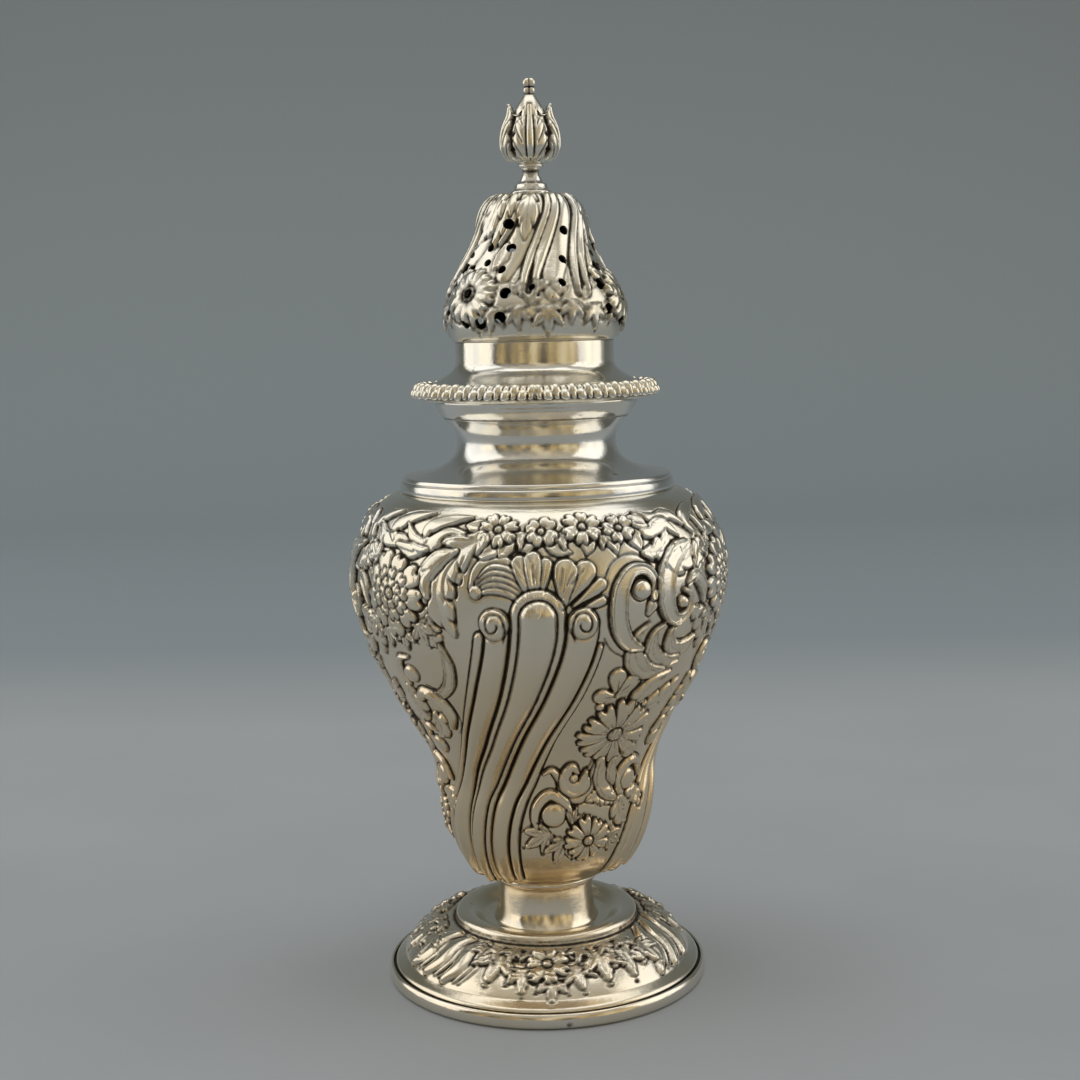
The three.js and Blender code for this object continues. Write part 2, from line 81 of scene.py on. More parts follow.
def softened(outline, radius=0.25, steps=5):
    """The closed outline with each sharp corner swapped for the curve (1-t)^2 a + 2t(1-t) corner + t^2 b."""
    rounded = []
    t = np.linspace(0, 1, steps)[:, None]
    for before, corner, after in zip(np.roll(outline, 1, 0), outline, np.roll(outline, -1, 0)):
        into, out = corner - before, after - corner
        long_in, long_out = np.hypot(*into), np.hypot(*out)
        bend = math.acos(np.clip(into @ out / (long_in * long_out), -1, 1))
        if bend < BLUNT or corner[0] < 1e-6:
            rounded.append(corner[None])
            continue
        a = corner - into * min(radius / long_in, 0.45)
        b = corner + out * min(radius / long_out, 0.45)
        rounded.append(a * (1 - t) ** 2 + 2 * corner * t * (1 - t) + b * t ** 2)
    return np.vstack(rounded)


# %% [markdown]
# ## From arrays to meshes
#
# Every surface below is a grid of points, worked out as whole arrays and handed to Blender at once. A
# point's own number recess, from 0 to 1, says how much oxide lies there, and the finish reads it.

# %% Mesh helpers
def around(radius, turn, height):
    """Point at that radius, turned by so many degrees from the front towards the right, and its height."""
    angle = np.radians(turn)
    return np.stack(np.broadcast_arrays(radius * np.sin(angle), -radius * np.cos(angle), height), -1)


def grid_faces(rows, columns, start=0, wrap_rows=False, wrap_columns=False):
    """Four corners of each cell of a grid whose points are numbered row by row, seen from its front."""
    i = np.arange(rows if wrap_rows else rows - 1)[:, None]
    j = np.arange(columns if wrap_columns else columns - 1)[None, :]
    up, right = (i + 1) % rows, (j + 1) % columns
    cells = [i * columns + j, i * columns + right, up * columns + right, up * columns + j]
    return np.stack(cells, -1).reshape(-1, 4) + start


def build(name, points, quads, triangles=(), recess=0.0, normals=None):
    """Mesh object from points in millimetres and faces given by the numbers of their corners."""
    quads = np.asarray(quads, np.int32).reshape(-1, 4)
    triangles = np.asarray(triangles, np.int32).reshape(-1, 3)
    points = np.asarray(points, float).reshape(-1, 3)
    corners = np.concatenate([quads.ravel(), triangles.ravel()])
    counts = np.concatenate([np.full(len(quads), 4), np.full(len(triangles), 3)])
    mesh = bpy.data.meshes.new(name)
    mesh.vertices.add(len(points))
    mesh.vertices.foreach_set("co", (points * MM).astype(np.float32).ravel())
    mesh.loops.add(len(corners))
    mesh.loops.foreach_set("vertex_index", corners)
    mesh.polygons.add(len(counts))
    mesh.polygons.foreach_set("loop_start", np.concatenate([[0], np.cumsum(counts)[:-1]]))
    mesh.update(calc_edges=True)
    mesh.validate()
    mesh.shade_smooth()
    layer = mesh.attributes.new("recess", "FLOAT", "POINT")
    layer.data.foreach_set("value", np.broadcast_to(recess, len(points)).astype(np.float32).copy())
    if normals is not None:
        mesh.normals_split_custom_set_from_vertices(np.asarray(normals, float).reshape(-1, 3))
    made = bpy.data.objects.new(name, mesh)
    bpy.context.scene.collection.objects.link(made)
    print(f"{name}: {2 * len(quads) + len(triangles)} triangles")
    return made


def fit(made, body, node, finish):
    """The piece rides on its body, stands for its CAD node and takes its finish."""
    made.data.materials.append(finish)
    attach(made, body)
    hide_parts(node)


# %% [markdown]
# ## Silver
#
# The caster is sterling silver. Pure metal has no colour of its own to speak of, only a faint warmth, so
# what the eye sees is the room in it, softened by a century of hand polishing: fine random scratches and a
# slow change in gloss. Low on the vase, above the stem, a golden tint is painted in, gone by 0.1 m up: it is
# a painted warm reflection of the room. Where the punch has cut, brown-black oxide stays, and a few small
# spots of it lie in the open. One function makes the finish, once for the plain spun parts and once,
# slightly duller, for the chased ones.

# %% Finish
def linear(code):
    """Linear light of an sRGB hex colour."""
    share = np.array([int(code[i:i + 2], 16) for i in (1, 3, 5)]) / 255
    light = np.where(share <= 0.04045, share / 12.92, ((share + 0.055) / 1.055) ** 2.4)
    return (*light, 1.0)


NOISE, MIX, MATH = "ShaderNodeTexNoise", "ShaderNodeMix", "ShaderNodeMath"
RAMP, RANGE, PLACE = "ShaderNodeValToRGB", "ShaderNodeMapRange", "ShaderNodeTexCoord"
COLOURS = {"data_type": "RGBA"}
PRODUCT_AND_SUM = {"operation": "MULTIPLY_ADD"}


def add(tree, kind, settings=None, stops=(), **inputs):
    """A node with its settings, and the stops of a ramp as pairs of place and grey level or colour.

    An input is a value or a socket to link from. It goes by its name, or as i3 for the one after i2.
    """
    node = tree.nodes.new(kind)
    for key, value in (settings or {}).items():
        setattr(node, key, value)
    for k, (place, level) in enumerate(stops):
        elements = node.color_ramp.elements
        element = elements[k] if k < 2 else elements.new(place)
        element.position = place
        element.color = level if isinstance(level, tuple) else (level, level, level, 1)
    for key, value in inputs.items():
        socket = node.inputs[int(key[1:])] if key[0] == "i" and key[1:].isdigit() \
            else node.inputs[key.replace("_", " ")]
        if isinstance(value, bpy.types.NodeSocket):
            tree.links.new(value, socket)
        else:
            socket.default_value = value
    return node


# Noise cells in a metre, from the real size of each pattern
DRIFT = 50.0                       # gloss and warmth change over 20 mm
GRAIN = 900.0                      # the polished skin is uneven over 1 mm
SCRATCHES = 260.0                  # a scratch is about 4 mm long
CLOSER = 14.0                      # and the next one up lies this many times nearer, 0.3 mm away
PITS = 210.0                       # spots of oxide lie 5 mm apart or more
DEEPEST = 0.00008                  # metres: the scratches are drawn this deep, so that they show

WARM_TOP = 0.1                      # metres: above this height no painted warm reflection is laid on the silver
# golden colour of the painted warm reflection, laid low on the vase
WARM_REFLECTION = "#e9d5b4"
OXIDE = "#2b2318"


def silver(name, film, rough, scratch, spots):
    """Sterling silver: noises change its gloss and warmth, scratch and spot it, and oxide follows recess."""
    material = bpy.data.materials.new(name)
    material.use_nodes = True
    tree = material.node_tree
    shader = tree.nodes["Principled BSDF"]
    place = add(tree, PLACE).outputs["Object"]
    drift = add(tree, NOISE, Vector=place, Scale=DRIFT, Detail=3.0, Roughness=0.55).outputs["Fac"]
    grain = add(tree, NOISE, Vector=place, Scale=GRAIN, Detail=2.0).outputs["Fac"]
    tall_place = add(tree, "ShaderNodeMapping", Vector=place, Scale=(1.0, 1.0, CLOSER)).outputs["Vector"]
    lines = add(tree, NOISE, Vector=tall_place, Scale=SCRATCHES, Detail=3.0, Roughness=0.7).outputs["Fac"]
    pits = add(tree, NOISE, Vector=place, Scale=PITS, Detail=1.0).outputs["Fac"]
    oxide = add(tree, "ShaderNodeAttribute", {"attribute_name": "recess"}).outputs["Fac"]
    warmth = zip((0.3, 0.5, 0.7), map(linear, film))
    bare = add(tree, RAMP, stops=warmth, Fac=drift).outputs["Color"]
    rise = add(tree, "ShaderNodeSeparateXYZ", Vector=place).outputs["Z"]
    level = add(tree, RANGE, Value=rise, i1=0.0, i2=WARM_TOP).outputs[0]
    warm_by_height = ((0.16, 0.3), (0.3, 0.95), (0.7, 0.75), (1.0, 0.0))     # share of that height, share of painted warm reflection
    warm_share = add(tree, RAMP, stops=warm_by_height, Fac=level).outputs["Color"]
    # the golden tint mixed in by height is a painted warm reflection
    warm = add(tree, MIX, COLOURS, i0=warm_share, i6=bare, i7=linear(WARM_REFLECTION)).outputs[2]
    broken = add(tree, MATH, PRODUCT_AND_SUM, i0=grain, i1=0.5, i2=oxide).outputs[0]
    dark = add(tree, RAMP, stops=((0.42, 0.0), (0.95, 1.0)), Fac=broken).outputs["Color"]
    spot = add(tree, RAMP, stops=((spots, 0.0), (spots + 0.05, 0.8)), Fac=pits).outputs["Color"]
    either = add(tree, MATH, {"operation": "MAXIMUM"}, i0=dark, i1=spot).outputs[0]
    colour = add(tree, MIX, COLOURS, i0=either, i6=warm, i7=linear(OXIDE)).outputs[2]
    tree.links.new(colour, shader.inputs["Base Color"])
    metal = add(tree, RAMP, stops=((0.0, 1.0), (1.0, 0.45)), Fac=either).outputs["Color"]
    tree.links.new(metal, shader.inputs["Metallic"])
    gloss = add(tree, RANGE, Value=drift, i3=rough - 0.05, i4=rough + 0.07).outputs[0]
    dull = add(tree, MATH, PRODUCT_AND_SUM, i0=either, i1=0.35, i2=gloss).outputs[0]
    tree.links.new(dull, shader.inputs["Roughness"])
    height = add(tree, MATH, PRODUCT_AND_SUM, i0=lines, i1=0.6, i2=grain).outputs[0]
    bump = add(tree, "ShaderNodeBump", Strength=scratch, Distance=DEEPEST, Height=height)
    tree.links.new(bump.outputs["Normal"], shader.inputs["Normal"])
    return material


polished = silver("polished_sterling_silver_spun", ("#e6e0cf", "#e9e6de", "#e6e7e6"),
                  rough=0.12, scratch=0.25, spots=0.74)
chased = silver("chased_sterling_silver_oxidised", ("#e0d9c6", "#e6e2d6", "#e6e5e0"),
                rough=0.2, scratch=0.35, spots=0.78)
print("finishes:", polished.name, chased.name)

# %% [markdown]
# ## Plain spun parts
#
# The rim, stem, ring, bands, neck, sleeve and collar are turned shapes: a closed outline carried round the
# axis. Oxide gathers where the outline is hollow, beside a bead or under a lip.

# %% Turned solids
AROUND = 256                       # steps round the axis of a plain turned part
ARRIS = math.radians(50)           # an edge that turns by more than this is drawn sharp


def hollows(outline, reach=0.5):
    """How hollow the closed outline is at each point: the turn to the right over that length, 0 to 1."""
    step = np.roll(outline, -1, 0) - outline
    heading = np.unwrap(np.arctan2(step[:, 1], step[:, 0]))
    turn = np.diff(np.concatenate([[heading[-1] - 2 * np.pi], heading]))
    length = np.hypot(*step.T) + 1e-9
    place = np.concatenate([[0], np.cumsum(length)])[:-1]
    away = np.abs(place[:, None] - place[None, :])
    away = np.minimum(away, length.sum() - away)
    return np.clip(-(np.exp(-(away / reach) ** 2) @ np.minimum(turn, 0)) * 0.9 - 0.15, 0, 1)


def turned(name, outline, relief=None, segments=AROUND):
    """Ring solid: point (k, j) is outline point k, moved out by the relief there and turned to step j."""
    turns = np.arange(segments) * 360 / segments
    side = np.roll(outline, -1, 0) - np.roll(outline, 1, 0)
    side = side / np.hypot(*side.T)[:, None]
    raised = np.zeros((len(outline), segments)) if relief is None else relief
    radius = outline[:, :1] + side[:, 1:] * raised
    height = outline[:, 1:] - side[:, :1] * raised
    points = around(radius, turns[None, :], height)
    faces = grid_faces(len(outline), segments, wrap_rows=True, wrap_columns=True)
    recess = np.repeat(hollows(outline), segments)
    made = build(name, points, faces, recess=recess)
    made.data.set_sharp_from_angle(angle=ARRIS)
    return made


# Heights of the stack, from the table up
DISH, RING, VASE = 12.7, 22.1, 23.5
SHOULDER, NECK, LIP, COVER = 110.9, 113.3, 126.9, 130.9
BORDER, COLLAR, DOME, COLLET, BUD, KNOB = 131.7, 134.2, 143.5, 175.1, 180.8, 194.4

plain = {
    "foot_rim": joined(
        curve((33.4, 0.0), (34.6, -0.02), (35.3, 0.0), (35.7, 0.25), 8),
        curve((35.7, 0.25), (36.45, 0.9), (36.35, 2.8), (35.7, 3.35), 14),
        curve((35.7, 3.35), (35.4, 3.6), (35.2, 3.3), (35.1, 2.7), 8), [(33.4, 3.2)]),
    "foot_stem": joined(
        curve((12.0, DISH), (10.6, DISH + 2), (10.2, RING - 2.4), (11.1, RING)),
        curve((10.3, RING), (9.4, RING - 2.4), (9.8, DISH + 2), (11.2, DISH))),
    "bowl_ring": joined(
        curve((11.4, RING), (12.15, RING + 0.1), (12.15, VASE - 0.15), (11.7, VASE), 14),
        [(9.8, VASE), (9.8, RING)]),
    "shoulder_band": joined(
        [(28.0, SHOULDER)], curve((29.9, SHOULDER), (30.45, SHOULDER), (30.4, SHOULDER + 1.0),
                                  (30.3, SHOULDER + 1.6), 10),
        curve((30.3, SHOULDER + 1.6), (30.25, NECK - 0.1), (30.0, NECK), (29.7, NECK), 10),
        [(28.0, NECK)]),
    "neck": joined(
        curve((29.7, NECK), (29.9, NECK + 0.1), (29.9, NECK + 0.6), (29.5, NECK + 1.1), 8),
        curve((29.5, NECK + 1.1), (22.5, NECK + 1.9), (17.6, NECK + 3.4), (17.6, NECK + 8.5), 40),
        curve((17.6, NECK + 8.5), (17.6, LIP - 2.6), (18.8, LIP - 1.2), (20.4, LIP), 20),
        curve((19.5, LIP), (18.0, LIP - 1.2), (16.8, LIP - 2.6), (16.8, NECK + 8.5), 12),
        curve((16.8, NECK + 8.5), (16.8, NECK + 3.0), (22.3, NECK + 1.0), (28.4, NECK), 16)),
    "neck_lip": joined(
        [(20.4, LIP)], curve((20.4, LIP + 0.15), (20.9, LIP + 0.7), (21.6, LIP + 1.4), (22.0, COVER - 1.6),
                             12),
        curve((22.0, COVER - 1.6), (22.2, COVER - 1.1), (22.7, COVER - 0.6), (22.4, COVER), 10),
        [(19.2, COVER), (19.2, LIP)]),
    # the two extra points beside its corner keep the oxide of the corner from spreading along the sleeve
    "cover_sleeve": np.array([
        (15.8, COVER - 10), (16.5, COVER - 10), (16.5, COVER - 1.2), (16.5, COVER), (17.7, COVER),
        (24.8, COVER), (24.8, BORDER), (15.8, BORDER)]),
    "cover_collar": joined(
        curve((23.4, COLLAR), (20.8, COLLAR + 1.5), (17.5, COLLAR + 2.6), (17.5, COLLAR + 5), 30),
        [(17.5, DOME), (16.7, DOME)],
        curve((16.7, COLLAR + 5), (16.7, COLLAR + 2.2), (20.0, COLLAR + 0.9), (22.0, COLLAR), 14)),
}
BODY_OF = {name: "cover" if name.startswith("cover") else "vessel" for name in plain}
for name, outline in plain.items():
    fit(turned(name + "_silver", softened(outline)), BODY_OF[name], name, polished)

# %% [markdown]
# ## Chasing on a flat map
#
# The chaser works on the raised shell, but the pattern is easier to draw flat. A chart is a map of a
# turned surface: across it runs the turn in degrees, and up it runs q, the sum of each small step along
# the profile divided by the radius there. A small square on the map is then a small square on the
# silver, so a flower drawn round stays round. Heights in millimetres are laid on the chart in the order
# in which the forms overlap, and the surface is pushed out by them along its normal.

# %% Chart
EDGE = 0.3                         # mm over which a raised form rises from its ground
KEEP = 0.35                        # share of the relief under a form that still lifts it


class Chart:
    """Map of one panel of a turned surface, with its relief h in mm and its oxide dark from 0 to 1."""

    def __init__(self, outline, rows, columns, period=360 / PANELS):
        step = np.hypot(*np.diff(outline, axis=0).T)
        along = np.concatenate([[0], np.cumsum(step)])
        self.s = np.linspace(0, along[-1], rows)
        self.r = np.interp(self.s, along, outline[:, 0])
        self.z = np.interp(self.s, along, outline[:, 1])
        dr, dz = np.gradient(self.r, self.s), np.gradient(self.z, self.s)
        long = np.hypot(dr, dz)
        self.nr, self.nz = dz / long, -dr / long
        middle = (self.r[1:] + self.r[:-1]) / 2
        self.q = np.degrees(np.concatenate([[0], np.cumsum(np.diff(self.s) / middle)]))
        self.mm = np.radians(self.r)
        self.period = period
        self.u = (np.arange(columns) / columns - 0.5) * period
        self.h = np.zeros((rows, columns))
        self.dark = np.zeros((rows, columns))

    def place(self, points):
        """Turn and height of each point as across and up on the map."""
        points = np.asarray(points, float).reshape(-1, 2)
        top = self.z.argmax() + 1
        return np.stack([points[:, 0], np.interp(points[:, 1], self.z[:top], self.q[:top])], 1)

    def scale(self, q):
        """Millimetres in one degree of the map at that q."""
        return np.interp(q, self.q, self.mm)

    def windows(self, low, high):
        """Parts of the map between two corners, for each copy of the panel that they touch."""
        rows = np.searchsorted(self.q, [low[1], high[1]])
        for shift in (-self.period, 0.0, self.period):
            columns = np.searchsorted(self.u, [low[0] + shift, high[0] + shift])
            if rows[0] < rows[1] and columns[0] < columns[1]:
                window = np.s_[rows[0]:rows[1], columns[0]:columns[1]]
                across, up = np.meshgrid(self.u[window[1]] - shift, self.q[window[0]])
                yield window, across, up

    def lay(self, window, inside, height, dark=0.0):
        """A form covers what lies under it, lifted by a share of it; inside is 1 where the form is."""
        self.h[window] += (height + (KEEP - 1) * self.h[window]) * inside
        self.dark[window] += (dark - self.dark[window]) * inside

    def cut(self, window, groove, depth, shade=1.0):
        """A chased line: the surface sinks by its share of the depth, and oxide fills it."""
        self.h[window] -= depth * groove
        self.dark[window] = np.maximum(self.dark[window], groove * shade)


def smooth_line(points, steps=44):
    """Line through the points: cubic pieces whose slope at a point is the mean slope of its neighbours."""
    gap = np.hypot(*np.diff(points, axis=0).T)
    mark = np.concatenate([[0], np.cumsum(gap)])
    slope = np.gradient(points, mark, axis=0)
    t = np.linspace(0, mark[-1], steps)
    i = np.clip(np.searchsorted(mark, t, side="right") - 1, 0, len(mark) - 2)
    w, x = gap[i][:, None], ((t - mark[i]) / gap[i])[:, None]
    return ((2 * x ** 3 - 3 * x ** 2 + 1) * points[i] + (x ** 3 - 2 * x ** 2 + x) * w * slope[i]
            + (3 * x ** 2 - 2 * x ** 3) * points[i + 1] + (x ** 3 - x ** 2) * w * slope[i + 1])


def beside(chart, line, reach):
    """Near a line: the window, the share of the way along it and the mm across it."""
    scale = chart.scale(line[:, 1])
    pad = reach / scale.min()
    start, step = line[:-1].astype(np.float32), np.diff(line, axis=0).astype(np.float32)
    size = np.hypot(*step.T) + 1e-9
    mark = np.concatenate([[0], np.cumsum(size)]).astype(np.float32)
    for window, across, up in chart.windows(line.min(0) - pad, line.max(0) + pad):
        x, y = across.astype(np.float32).reshape(-1, 1), up.astype(np.float32).reshape(-1, 1)
        t = np.clip(((x - start[:, 0]) * step[:, 0] + (y - start[:, 1]) * step[:, 1]) / size ** 2, 0, 1)
        ex, ey = x - start[:, 0] - t * step[:, 0], y - start[:, 1] - t * step[:, 1]
        away = ex * ex + ey * ey
        best = away.argmin(1)
        row = np.arange(len(best))
        share = (mark[best] + t[row, best] * size[best]) / mark[-1]
        side = np.sign(step[best, 0] * ey[row, best] - step[best, 1] * ex[row, best])
        distance = np.sqrt(away[row, best]) * np.where(side == 0, 1, side)
        shape = across.shape
        yield window, share.reshape(shape), distance.reshape(shape) * chart.scale(up)


# %% [markdown]
# ## The chaser's forms
#
# A handful of forms make up the whole pattern: a raised stroke (strand, scroll or narrow leaf), a flower,
# a broad leaf of pointed lobes like a maple's, a smooth ball, a tongue-shaped flute and a plain chased
# line. Each is a height worked out from the distance to a line or a centre, with a line cut round it.

# %% Forms
LEAN = 0.7                         # a leaf's lobes run ahead at its edge by this share of a lobe
BEAD = 5.0                         # the grains in a flower's heart: their waves in radians for each mm
CRISP = 5.2                        # the waves along a broad leaf's edge, the same way

# Height over the half width of a stroke: x is 0 on the middle line and 1 at the edge
SECTIONS = {
    "round": lambda x: np.sqrt(1 - x * x),
    "soft": lambda x: 1 - x * x,
    "hollow": lambda x: (0.5 + 0.5 * np.exp(-((x - 0.8) / 0.2) ** 2)) * np.sqrt(np.clip((1 - x) * 6, 0, 1)),
    "leaf": lambda x: (0.6 + 0.4 * x) * np.sqrt(np.clip((1 - x) * 3, 0, 1)),
    "lobe": lambda x: 0.5 + 0.5 * np.sqrt(1 - x * x),
}


def stroke(chart, points, width, rise, section="round", lobes=0, rim=0.0, groove=0.24, line=None):
    """Raised stroke: the section of (mm across / half width), cut by slanting lobes or a line in its rim."""
    line = smooth_line(chart.place(points)) if line is None else line
    width = np.atleast_1d(width)
    for window, share, across in beside(chart, line, width.max() + 1.2):
        half = np.interp(share, np.linspace(0, 1, len(width)), width)
        off = np.abs(across)
        part = np.zeros_like(share)
        if lobes:
            part = lobes * share - LEAN * off / half
            part = part - np.floor(part) - 0.5
            half = half * (1 - 0.34 * (2 * np.abs(part)) ** 3)
        x = np.clip(off / half, 0, 1)
        inside = np.clip((half - off) / EDGE + 0.5, 0, 1)
        height, dark = rise * SECTIONS[section](x), 0.0
        if section == "leaf":
            dark = 0.55 * np.exp(-(off / 0.2) ** 2) * np.clip(8 * (0.85 - share), 0, 1)
        if lobes:
            seam = np.exp(-((0.5 - np.abs(part)) / 0.1) ** 2) * np.clip(x * 2.4 - 0.6, 0, 1)
            height, dark = height - 0.3 * rise * seam, np.maximum(dark, 0.8 * seam)
        if rim:
            fade = np.clip(10 * np.minimum(share, 1 - share), 0, 1)
            inner = np.exp(-((half - off - rim) / 0.2) ** 2) * fade
            height, dark = height - 0.16 * inner, np.maximum(dark, 0.6 * inner)
        chart.lay(window, inside, height, dark)
        chart.cut(window, np.exp(-((off - half - 0.1) / 0.23) ** 2), groove, 0.95)


def line_cut(chart, points, width=0.24, depth=0.25, shade=0.85):
    """Chased line: a groove whose depth falls off as the square of the distance, fading at its ends."""
    for window, share, across in beside(chart, smooth_line(chart.place(points)), 1.5):
        fade = np.clip(np.minimum(share, 1 - share) * 12, 0, 1)
        chart.cut(window, fade * np.exp(-(across / width) ** 2), depth, shade)


def around_point(chart, centre, reach):
    """Near a point: the window, the distance in mm and the direction in radians."""
    (u, q), = chart.place([centre])
    scale = chart.scale(q)
    pad = reach / scale
    for window, across, up in chart.windows((u - pad, q - pad), (u + pad, q + pad)):
        x, y = (across - u) * scale, (up - q) * scale
        yield window, np.hypot(x, y), np.arctan2(y, x)


def outside(chart, away, edge, centre):
    """Distance in mm from the edge of a form: what is left to it, over how fast that changes on the map."""
    left = away - edge
    column = chart.scale(chart.place([centre])[0, 1]) * (chart.u[1] - chart.u[0])
    if min(left.shape) < 2:
        return left
    steep = np.hypot(*np.gradient(left, chart.s[1] - chart.s[0], column))
    return left / np.maximum(steep, 1.0)


def flower(chart, centre, radius, petals, rise, turn=0.0, heart=0.2, notch=0.12, cup=0.0, crumb=0.1,
           blunt=6.0,
           gap=0.3):
    """Petals share the circle: the edge falls by a power of the way to the gap, and dips at each tip."""
    for window, away, angle in around_point(chart, centre, radius + 1.5):
        part = petals * (angle / (2 * np.pi) + turn)
        side = np.sin(2.4 * np.floor(part + 0.5))
        part = part - np.round(part)
        fall = gap * (2 * np.abs(part)) ** blunt
        edge = radius * (1 + 0.06 * side) * (1 - fall - notch * np.exp(-(part / 0.1) ** 2))
        x = np.clip(away / edge, 0, 1)
        beyond = outside(chart, away, edge, centre)
        inside = np.clip(0.5 - beyond / EDGE, 0, 1)
        long = np.interp(x, [0, 0.2, 0.5, 0.9, 1], [0.45, 0.6, 0.95, 1.0, 0.85])
        height = rise * long * (1 - 0.25 * (2 * np.abs(part)) ** 4) + cup * (1 - (away / radius) ** 2)
        arc = 2 * np.pi * away / petals
        seam_width = 0.13 + 0.22 * x ** 4
        seam = np.exp(-((0.5 - np.abs(part)) * arc / seam_width) ** 2) * np.clip(x * 4 - 0.6, 0, 1)
        vein = np.exp(-(np.abs(part) * arc / 0.2) ** 2) * np.interp(x, [0.2, 0.3, 0.45, 0.65], [0, 1, 0.8, 0])
        height = height - 0.3 * rise * seam - 0.1 * vein
        dark = np.maximum(seam, vein * 0.75)
        core = heart * radius
        inner = np.clip((core - away) / EDGE + 0.5, 0, 1)
        grains = np.cos(BEAD * away) * np.cos(angle * np.maximum(3, np.round(BEAD * away)))
        dome = cup + rise * (0.6 + 0.35 * np.sqrt(np.clip(1 - (away / core) ** 2, 0, 1))) + crumb * grains
        height = height + (dome - height) * inner
        dark = dark + (np.clip(0.2 - grains, 0, 1) * 0.8 - dark) * inner
        ring = np.exp(-((away - core - 0.15) / 0.28) ** 2)
        chart.lay(window, inside, height - 0.3 * ring, np.maximum(dark, ring))
        chart.cut(window, np.exp(-((beyond - 0.1) / 0.24) ** 2), 0.28, 1.0)


def boss(chart, centre, radius, rise):
    """Smooth ball: the height of a circle's arc over its radius, a line round it."""
    for window, away, _ in around_point(chart, centre, radius + 1.5):
        x = np.clip(away / radius, 0, 1)
        inside = np.clip((radius - away) / EDGE + 0.5, 0, 1)
        chart.lay(window, inside, rise * (0.3 + 0.7 * np.sqrt(1 - x * x)))
        chart.cut(window, np.exp(-((away - radius - 0.1) / 0.22) ** 2), 0.22, 0.85)


def scroll(chart, path, width, rise, eye, ball, section="hollow", rim=0.7):
    """Band that runs along the path and ends beside its eye, a smooth ball."""
    stroke(chart, None, width, rise, section, rim=rim, line=smooth_line(chart.place(path), 64))
    boss(chart, eye, ball, rise * 1.15)


def leaf(chart, base, tip, width, rise, lobes=3, bow=0.0, section="leaf", fan=False):
    """Leaf from base to tip, bowed sideways by a share of its length; a fan is widest late."""
    a, b = chart.place([base, tip])
    side = np.array([-(b - a)[1], (b - a)[0]]) * bow
    line = smooth_line(np.array([a, (2 * a + b) / 3 + side * 0.9, (a + 2 * b) / 3 + side * 0.9, b]))
    shape = np.array([0.3, 0.45, 0.7, 0.95, 1.0] if fan else [0.4, 0.85, 1.0, 0.75, 0.1])
    stroke(chart, None, shape * width, rise, section, lobes=lobes, line=line)


def maple(chart, base, size, aim, rise, points=5, spread=40, deep=0.42):
    """One leaf of pointed lobes: its edge falls from each point, straight, by the depth of the cuts."""
    for window, away, angle in around_point(chart, base, size + 1.5):
        off = (90 - np.degrees(angle) - aim + 180) % 360 - 180
        lobe = np.clip(np.round(off / spread), -(points // 2), points // 2)
        within = off / spread - lobe
        crisp = 0.1 * np.cos(away * CRISP) * np.clip(1 - 4 * np.abs(within), 0, 1)
        edge = size * (1 - 0.13 * lobe ** 2) * np.clip(1 - 2 * deep * np.abs(within) ** 0.85 + crisp, 0.06,
                                                       1)
        beyond = outside(chart, away, edge, base)
        inside = np.clip(0.5 - beyond / EDGE, 0, 1)
        x = np.clip(away / edge, 0, 1)
        arc = np.radians(spread) * away
        vein = np.exp(-(within * arc / 0.2) ** 2) * np.interp(x, [0.1, 0.25, 0.7, 0.9], [0, 1, 1, 0])
        seam = np.exp(-((0.5 - np.abs(within)) * arc / 0.16) ** 2) * np.interp(x, [0.35, 0.6], [0, 1])
        height = rise * (0.6 + 0.35 * x) - 0.15 * vein - 0.2 * seam
        chart.lay(window, inside, height, np.maximum(0.7 * vein, 0.8 * seam))
        chart.cut(window, np.exp(-((beyond - 0.1) / 0.22) ** 2), 0.24, 1.0)


def tongue(chart, heights, left, right, top, foot, rise):
    """Flute between two slanting edges: round across, closed by a round arch at top and foot."""
    low, high = (smooth_line(np.stack([np.array(heights, float), side], 1), 300) for side in (left, right))
    low, high = (np.interp(chart.z, side[:, 0], side[:, 1])[:, None] for side in (low, high))
    half = (high - low) / 2
    tip, heel = (np.interp(z, chart.z, chart.q) for z in (top, foot))
    for shift in (-chart.period, 0.0, chart.period):
        x = (chart.u[None, :] - shift - (low + high) / 2) / half
        up = chart.q[:, None]
        over = np.clip((up - tip) / half + 1, 0, None)
        under = np.clip((heel - up) / half + 1, 0, None)
        away = np.sqrt(x * x + over ** 2 + under ** 2)
        real = half * chart.mm[:, None]
        inside = np.clip((1 - away) * real / EDGE + 0.5, 0, 1)
        window = np.s_[:, :]
        chart.lay(window, inside, rise * np.clip(1 - away ** 2, 0, 1) ** 0.6)
        chart.cut(window, np.exp(-(((away - 1) * real - 0.05) / 0.27) ** 2), 0.35, 1.0)


# %% Evening out and turning a chart into silver
def eased(values, times):
    """Mean with the four neighbours, so many times, going round the panel at its sides."""
    for _ in range(times):
        rows = np.pad(values, ((1, 1), (0, 0)), mode="edge")
        values = (2 * values + rows[2:] + rows[:-2]) / 4
        values = (2 * values + np.roll(values, 1, 1) + np.roll(values, -1, 1)) / 4
    return values


def handwork(chart, depth=0.12):
    """Slow unevenness of a hammered shell: a few crossed waves that repeat with the panel."""
    across, up = np.meshgrid(np.radians(chart.u) * 360 / chart.period, np.radians(chart.q) * 3)
    chart.h += depth * (np.sin(3 * across + 2.1 * up + 0.4) * np.sin(2 * across - 3.3 * up)
                        + 0.6 * np.sin(5 * across + 1.3) * np.sin(4.7 * up + 0.8)) / 1.6


